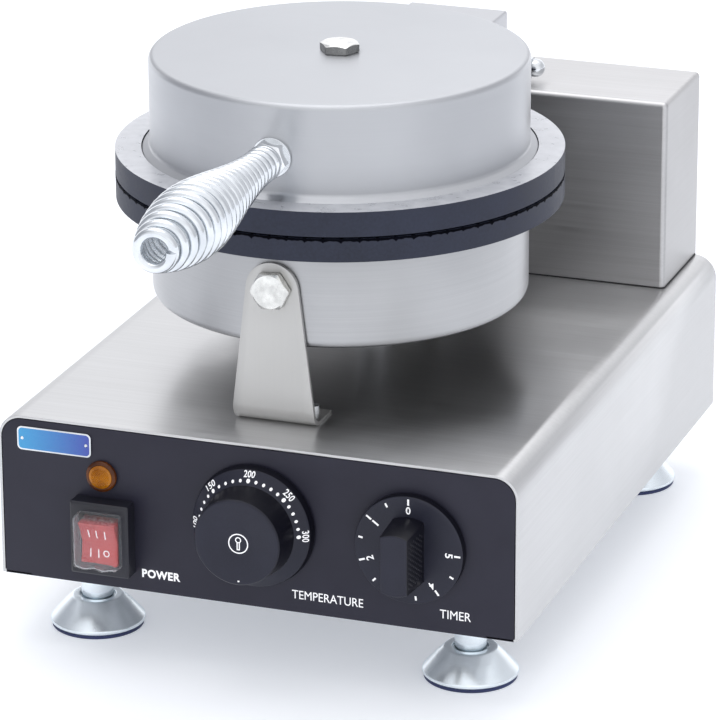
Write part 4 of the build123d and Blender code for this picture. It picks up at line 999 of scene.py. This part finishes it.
# Knurled cheeks on both sides of the grip: small pyramids in offset rows
KNURLS, KNURL_PITCH = 9, 2.5
bm = bmesh.new()
for side in (-1, 1):
    for row in range(KNURLS):
        for column in range(KNURLS):
            share = (row + 0.5) / KNURLS
            x = side * (BAR_W / 2 + 0.95 - share * 0.7)
            z = RIM_OUT + 2.2 + share * (timer_out - RIM_OUT - 3.6)
            y = (column - 4 + (row % 2) / 2) * KNURL_PITCH - 0.6
            centre = Vector((x, y, z))
            tip = bm.verts.new(timer_spot @ (centre + Vector((side * 0.45, 0, 0))))
            base = [
                bm.verts.new(timer_spot @ (centre + Vector((-side * 0.15, a, b))))
                for a, b in ((-1.1, 0), (0, -0.95), (1.1, 0), (0, 0.95))
            ]
            for k in range(4):
                bm.faces.new((base[k], base[(k + 1) % 4], tip))
            bm.faces.new(base)
piece("timer_knurl", bm, knob_plastic, "timer_dial", angle=20)


def on_disc(angle, radius):
    """Places a mark on the timer's disc, its top pointing outwards."""
    t = math.radians(angle)
    way, across = Vector((math.cos(t), math.sin(t))), Vector((math.sin(t), -math.cos(t)))

    def put(a, b, c):
        p = way * (radius + b) + across * a
        return timer_spot @ Vector((p.x, p.y, RIM_OUT + 0.03 + c))

    return put


bm = bmesh.new()
for half in range(11):
    angle = 90 + 27 * half
    if half % 2:
        stroke(bm, on_disc(angle, 23.7), bar_mark(0.9, 2.1))
        continue
    stroke(bm, on_disc(angle, 23.9), bar_mark(0.9, 3.0))
    glyphs(bm, str(half // 2), 0.9 if half == 2 else 2.3, 3.7, on_disc(angle, 19.8), 0.02)
piece("timer_marks", bm, print_white, "timer_dial")

# ---- baking plates and pans
dress(upper_coat, "upper_plate")
dress(lower_coat, "lower_plate")


# Painted shadow of the plate seam: a near-black band under the lower plate's rim edge, running down
# below each vent
VENTS, SHADOW_STEPS = 80, 10
SHADOW_DEPTH = 0.08
plate_rim = (high("lower_plate").x - low("lower_plate").x) / 2
rim_top = high("lower_plate").z


def shadow_drop(turn):
    """How far the line reaches down at a bearing round the plate, widest in front."""
    wide = 0.30 + 0.90 * (1 + math.cos(turn + math.pi / 3)) / 2
    ragged = 0.13 * math.sin(97 * turn + 1.0) + 0.11 * math.sin(211 * turn + 2.0)
    share = (turn * VENTS / (2 * math.pi)) % 1.0
    vent = max(0.0, 1.0 - abs(share - 0.5) * 8.0)
    return wide + ragged * wide + 0.85 * vent


bm = bmesh.new()
rings = []
for i in range(VENTS * SHADOW_STEPS):
    turn = 2 * math.pi * i / (VENTS * SHADOW_STEPS)
    way = Vector((math.cos(turn), math.sin(turn), 0))
    head = rim_top - 0.05
    foot = head - shadow_drop(turn)
    outside, inside = plate_rim + SHADOW_DEPTH, plate_rim - 0.3
    corners = ((outside, head), (outside, foot), (inside, foot), (inside, head))
    rings.append([bm.verts.new(Vector((plate_x, plate_y, z)) + way * r) for r, z in corners])
rings.append(rings[0])
join_rings(bm, rings)
piece("rim_seam_shadow", bm, seam_shadow, "base")

pan_lo, pan_hi = ends("lower_pan")
PAN_R, SKIN = (pan_hi.x - pan_lo.x) / 2, 1.2
bm = bmesh.new()
pan = [
    (0, pan_lo.z, 0),
    (PAN_R, pan_lo.z, 4.5),
    (PAN_R, pan_hi.z, 0.3),
    (PAN_R - SKIN, pan_hi.z, 0.3),
    (PAN_R - SKIN, pan_lo.z + SKIN, 3.3),
    (0, pan_lo.z + SKIN, 0),
]
lathe(bm, rounded(pan, 8), up(plate_x, plate_y, 0), 192)
piece("pan_body", bm, pan_steel, "base", "lower_pan")

dome_lo, dome_hi = ends("dome_cover")
DOME_R = 91.4
foot_r = (dome_hi.x - dome_lo.x) / 2
bm = bmesh.new()
dome = [
    (0, dome_hi.z, 0),
    (DOME_R, dome_hi.z, 2.8),
    (DOME_R, dome_lo.z + 4.2, 2.2),
    (foot_r, dome_lo.z + 1.5, 0.5),
    (foot_r, dome_lo.z, 0.2),
    (DOME_R - SKIN, dome_lo.z, 0.2),
    (DOME_R - SKIN, dome_hi.z - SKIN, 2.0),
    (0, dome_hi.z - SKIN, 0),
]
lathe(bm, rounded(dome, 8), up(plate_x, plate_y, 0), 192)
piece("dome_shell", bm, dome_steel, "lid", "dome_cover")

# ---- brackets
bracket_lo, bracket_hi = ends("front_bracket")
BRACKET_T, BRACKET_BEND, TOP_R = 2.0, 9.0, 13.0
bolt_z = bracket_hi.z - TOP_R
foot_half = (bracket_hi.x - bracket_lo.x) / 2


def half_width_at(z):
    """Half the bracket's width: full at the foot, then tapering to the round top."""
    full_z, tangent_z = top_z + 8, bolt_z + 1.5
    if z <= full_z:
        return foot_half
    if z < tangent_z:
        return foot_half + (TOP_R - foot_half) * (z - full_z) / (tangent_z - full_z)
    return math.sqrt(max(0.0, TOP_R**2 - (z - bolt_z) ** 2))


def pan_bracket(bm, turn):
    """Sheet strip along its bend line, from the round top to the end of the foot."""
    y0, y1 = bracket_lo.y, bracket_hi.y
    bend_z = top_z + BRACKET_BEND
    heights = [bracket_hi.z - TOP_R * (1 - math.cos(math.pi / 2 * k / 14)) for k in range(15)]
    heights += [bend_z + (bolt_z - top_z - BRACKET_BEND) * (1 - k / 6) for k in range(1, 7)]
    stations = [(Vector((y0, z)), Vector((1, 0)), half_width_at(z)) for z in heights]
    for k in range(1, 11):
        t = math.pi / 2 * k / 10
        centre = Vector((y0 + BRACKET_BEND, bend_z))
        way = Vector((-math.cos(t), -math.sin(t)))
        stations.append((centre + way * BRACKET_BEND, -way, foot_half))
    stations.append((Vector((y1, top_z)), Vector((0, 1)), foot_half))
    there = Matrix.Translation((plate_x, plate_y, 0))
    back_again = Matrix.Translation((-plate_x, -plate_y, 0))
    spin = there @ Matrix.Rotation(turn, 4, "Z") @ back_again
    rows = []
    for face in (0, 1):
        layer = []
        for point, normal, half in stations:
            p = point + normal * BRACKET_T * face
            half = max(half, 0.4)
            row = (Vector((plate_x + half * s / 4, p.x, p.y)) for s in range(-4, 5))
            layer.append([bm.verts.new(spin @ corner) for corner in row])
        rows.append(layer)
    front, back = rows
    for layer in rows:
        join_rings(bm, layer, closed=False)
    for i in range(len(front) - 1):
        for s in (0, -1):
            bm.faces.new((front[i][s], front[i + 1][s], back[i + 1][s], back[i][s]))
    for i in (0, -1):
        for s in range(8):
            bm.faces.new((front[i][s], front[i][s + 1], back[i][s + 1], back[i][s]))


for name, node, turn in (
    ("bracket_front", "front_bracket", 0.0),
    ("bracket_back", "rear_bracket", math.pi),
):
    bm = bmesh.new()
    pan_bracket(bm, turn)
    bevelled(bm, 0.35, angle=60)
    piece(name, bm, bracket_steel, "base", node)

M10_FLATS = 17.0
pan_head = bracket_lo.y - low("bracket_bolts").y
bm = bmesh.new()
front_bolt = facing_front(plate_x, bolt_z, bracket_lo.y)
rear_bolt = facing_back(plate_x, bolt_z, 2 * plate_y - bracket_lo.y)
hex_head(bm, front_bolt, M10_FLATS, pan_head, math.radians(34), washer=0.5)
hex_head(bm, rear_bolt, M10_FLATS, pan_head, 0.2, washer=0.5)
piece("pan_bolts", bm, bolt_zinc, "base", "bracket_bolts", angle=20)

top_bolt = middle("dome_bolt")
bm = bmesh.new()
lid_head = high("dome_bolt").z - dome_hi.z
top_spot = up(top_bolt.x, top_bolt.y, dome_hi.z)
hex_head(bm, top_spot, M10_FLATS, lid_head, math.radians(38), washer=0.4)
piece("lid_bolt", bm, top_zinc, "lid", "dome_bolt", angle=20)

# ---- handle
coil_lo, coil_hi = ends("handle_coil")
handle = middle("handle_coil")
wall_y = plate_y - DOME_R
WIRE, TURNS, LAST_TURN = 4.8, 23, 144.6
# Distance from the cover's wall and outer radius
BARREL = [
    (8, 8.74), (25, 8.9), (42.5, 10.5), (60, 12.9), (77, 15.5),
    (94, 17.6), (103, 17.8), (111, 17.4), (129, 14.5), (146, 9.6),
]


def barrel_radius(s):
    """Outer radius of the handle at a distance from the cover's wall."""
    pts = BARREL
    s = max(s, pts[0][0])
    i = max(k for k in range(len(pts) - 1) if pts[k][0] <= s)
    (x0, y0), (x1, y1) = pts[i], pts[i + 1]

    def slope(k):
        if k <= 0 or k >= len(pts) - 1:
            j = min(max(k, 1), len(pts) - 1)
            return (pts[j][1] - pts[j - 1][1]) / (pts[j][0] - pts[j - 1][0])
        return (pts[k + 1][1] - pts[k - 1][1]) / (pts[k + 1][0] - pts[k - 1][0])

    t, w = (s - x0) / (x1 - x0), x1 - x0
    a, b = 2 * t**3 - 3 * t**2 + 1, t**3 - 2 * t**2 + t
    return a * y0 + b * w * slope(i) + (1 - a) * y1 + (t**3 - t**2) * w * slope(i + 1)


def coil_spring(bm):
    """Closed-end helix of round wire whose turns follow the barrel."""
    start, end = wall_y - coil_hi.y + WIRE / 2, wall_y - coil_lo.y - WIRE / 2
    per_turn, around = 44, 14
    total = TURNS * per_turn
    # spacing grows from the neck to the belly and closes up at both ends
    neck, gain, belly_from = 5.3, 1.5, 0.6
    closed_turns, opening_turns = 0.45, 0.6
    weights = []
    for i in range(total):
        share = i / total
        from_end = min(share, 1 - share) * TURNS
        grow = neck + gain * min(1.0, share / belly_from)
        weights.append(grow * min(1.0, max(0.0, (from_end - closed_turns) / opening_turns)))
    scale = (end - start) / sum(weights)
    places, s = [start], start
    for w in weights:
        s += w * scale
        places.append(s)
    middle_line = []
    for i, s in enumerate(places):
        t = 2 * math.pi * i / per_turn
        r = barrel_radius(min(s, LAST_TURN)) - WIRE / 2
        x, z = handle.x + r * math.cos(t), handle.z + r * math.sin(t)
        middle_line.append(Vector((x, wall_y - s, z)))
    rings = []
    axis = Vector((0, 1, 0))
    for i, p in enumerate(middle_line):
        ahead = middle_line[min(i + 1, total)] - middle_line[max(i - 1, 0)]
        ahead.normalize()
        out = Vector((p.x - handle.x, 0, p.z - handle.z)).normalized()
        side = ahead.cross(out).normalized()
        out = side.cross(ahead).normalized()
        ring = []
        for k in range(around):
            t = 2 * math.pi * k / around
            ring.append(bm.verts.new(p + (out * math.cos(t) + side * math.sin(t)) * WIRE / 2))
        rings.append(ring)
    join_rings(bm, rings)
    for ring in (rings[0], rings[-1]):
        bm.faces.new(ring)


bm = bmesh.new()
coil_spring(bm)
piece("handle_spring", bm, chrome, "lid", "handle_coil", angle=40)

ROD_R = 3.9
rod_in, rod_out = wall_y - high("handle_rod").y, wall_y - low("handle_rod").y
rod = rounded([(0, rod_in, 0), (ROD_R, rod_in, 0), (ROD_R, rod_out, 1.0), (0, rod_out, 0)], 4)
bm = bmesh.new()
lathe(bm, rod, facing_front(handle.x, handle.z, wall_y), 40)
piece("handle_stud", bm, zinc, "lid", "handle_rod")

nut_lo, nut_hi = ends("handle_nuts")
NUT_FLATS, INNER_FLATS, NUT_HEIGHT = 16.2, 13.6, 6.5
nut_y = nut_lo.y + NUT_HEIGHT
bm = bmesh.new()
hex_head(bm, facing_front(handle.x, handle.z, nut_y), NUT_FLATS, NUT_HEIGHT, math.radians(20))
hex_head(bm, facing_back(handle.x, handle.z, nut_hi.y - NUT_HEIGHT), INNER_FLATS, NUT_HEIGHT, 0.0)
piece("stud_nuts", bm, zinc, "lid", "handle_nuts", angle=20)
dress(zinc, "handle_washers", edge=0.25)

# ---- hinge and lid arm
dress(arm_steel, "lid_arm")
dress(zinc, "hinge_bolt", "hinge_washers", "hinge_cap_nut")
dress(plain_steel, "hinge_bracket")
dress(brass, "hinge_bushings")
dress(black_rubber_and_shadow, "lead_grommet", edge=0.2)

# ---- inside
dress(plain_steel, "pan_conduit", "upper_clamp", "lower_clamp")
dress(zinc, "conduit_nuts", "clamp_bolt", "bracket_nuts", "sensor_bulb", edge=0.3)
dress(zinc, "temperature_shaft", "timer_shaft")
dress(inner_plastic, "thermostat_body", "timer_body", edge=0.3)
dress(ceramic, "terminal_block", edge=0.3)
dress(heater, "upper_element", "lower_element")
dress(wool, "lid_wool", "pan_wool")

# ---- floor and lights
CAMERA = (0.71643, -1.94628, 0.87612)
YAW, PITCH, ROLL = (math.radians(a) for a in (19.889, 20.001, -0.234))
look = Vector((-math.sin(YAW) * math.cos(PITCH), math.cos(YAW) * math.cos(PITCH), -math.sin(PITCH)))
right = look.cross(Vector((0, 0, 1))).normalized()
above = right.cross(look)
right, above = (
    right * math.cos(ROLL) + above * math.sin(ROLL),
    above * math.cos(ROLL) - right * math.sin(ROLL),
)
camera_data = bpy.data.cameras.new("camera")
camera_data.lens, camera_data.sensor_width = 226.71, 36.0
camera = add("camera", camera_data)
camera.matrix_world = Matrix(
    [[right[i], above[i], -look[i], CAMERA[i]] for i in range(3)] + [[0, 0, 0, 1]]
)
bpy.context.scene.camera = camera


def floor_paint():
    """Pale paint that is a little brighter far behind the object, like a lit sweep."""
    s = Surface("floor_paint", Specular_IOR_Level=0.2, Emission_Strength=1.0)
    tone = s.noise(3.0, detail=3.0)
    far = s.remap(s.part("Y"), -0.4, 1.6, smooth=True)
    s.set(Emission_Color=s.blend(far, (0.27, 0.285, 0.31), (0.28, 0.29, 0.31)))
    return s.set(
        Base_Color=s.blend(tone, (0.80, 0.805, 0.815), (0.83, 0.835, 0.845)),
        Roughness=s.remap(tone, 0.3, 0.7, 0.6, 0.7),
    )


FLOOR_RADIUS = 12.0  # metres
bm = bmesh.new()
bmesh.ops.create_circle(bm, cap_ends=True, radius=FLOOR_RADIUS, segments=96)
floor_mesh = bpy.data.meshes.new("floor")
bm.to_mesh(floor_mesh)
bm.free()
floor_mesh.materials.append(floor_paint())
add("floor", floor_mesh)

place, aim = Vector((-0.3, 0.2, 2.6)), Vector((0, 0.05, 0.1))
light_data = bpy.data.lights.new("top_light", "AREA")
light_data.shape, light_data.size, light_data.size_y = "RECTANGLE", 2.2, 2.0
light_data.energy = 16
light = add("top_light", light_data)
light.location = place
light.rotation_euler = (aim - place).to_track_quat("-Z", "Y").to_euler()

# World light by direction: bright behind the object, softer in front and at the sides
BACK, FRONT, ZENITH = (1.36, 1.37, 1.41), (1.15, 1.16, 1.19), (1.2, 1.21, 1.25)
LEFT, RIGHT = (0.46, 0.47, 0.51), (0.74, 0.75, 0.79)
BRIGHT_WAY = (-0.34, 0.94, 0.0)
world = bpy.data.worlds.new("studio")
bpy.context.scene.world = world
sky = Nodes(world)
inputs = {0: sky.coords.outputs["Generated"], 1: BRIGHT_WAY}
ahead = sky.node("VectorMath", inputs, operation="DOT_PRODUCT").outputs["Value"]
x, z = sky.part("X", "Generated"), sky.part("Z", "Generated")
tone = sky.blend(sky.remap(x, -0.5, 0.5, smooth=True), LEFT, RIGHT)
tone = sky.blend(sky.remap(ahead, -0.9, -0.2, smooth=True), FRONT, tone)
tone = sky.blend(sky.remap(ahead, 0.5, 0.9, smooth=True), tone, BACK)
tone = sky.blend(sky.remap(z, 0.5, 0.95, smooth=True), tone, ZENITH)
sky.put(sky.tree.nodes["Background"].inputs["Color"], tone)
bpy.context.scene.view_settings.view_transform = "Standard"
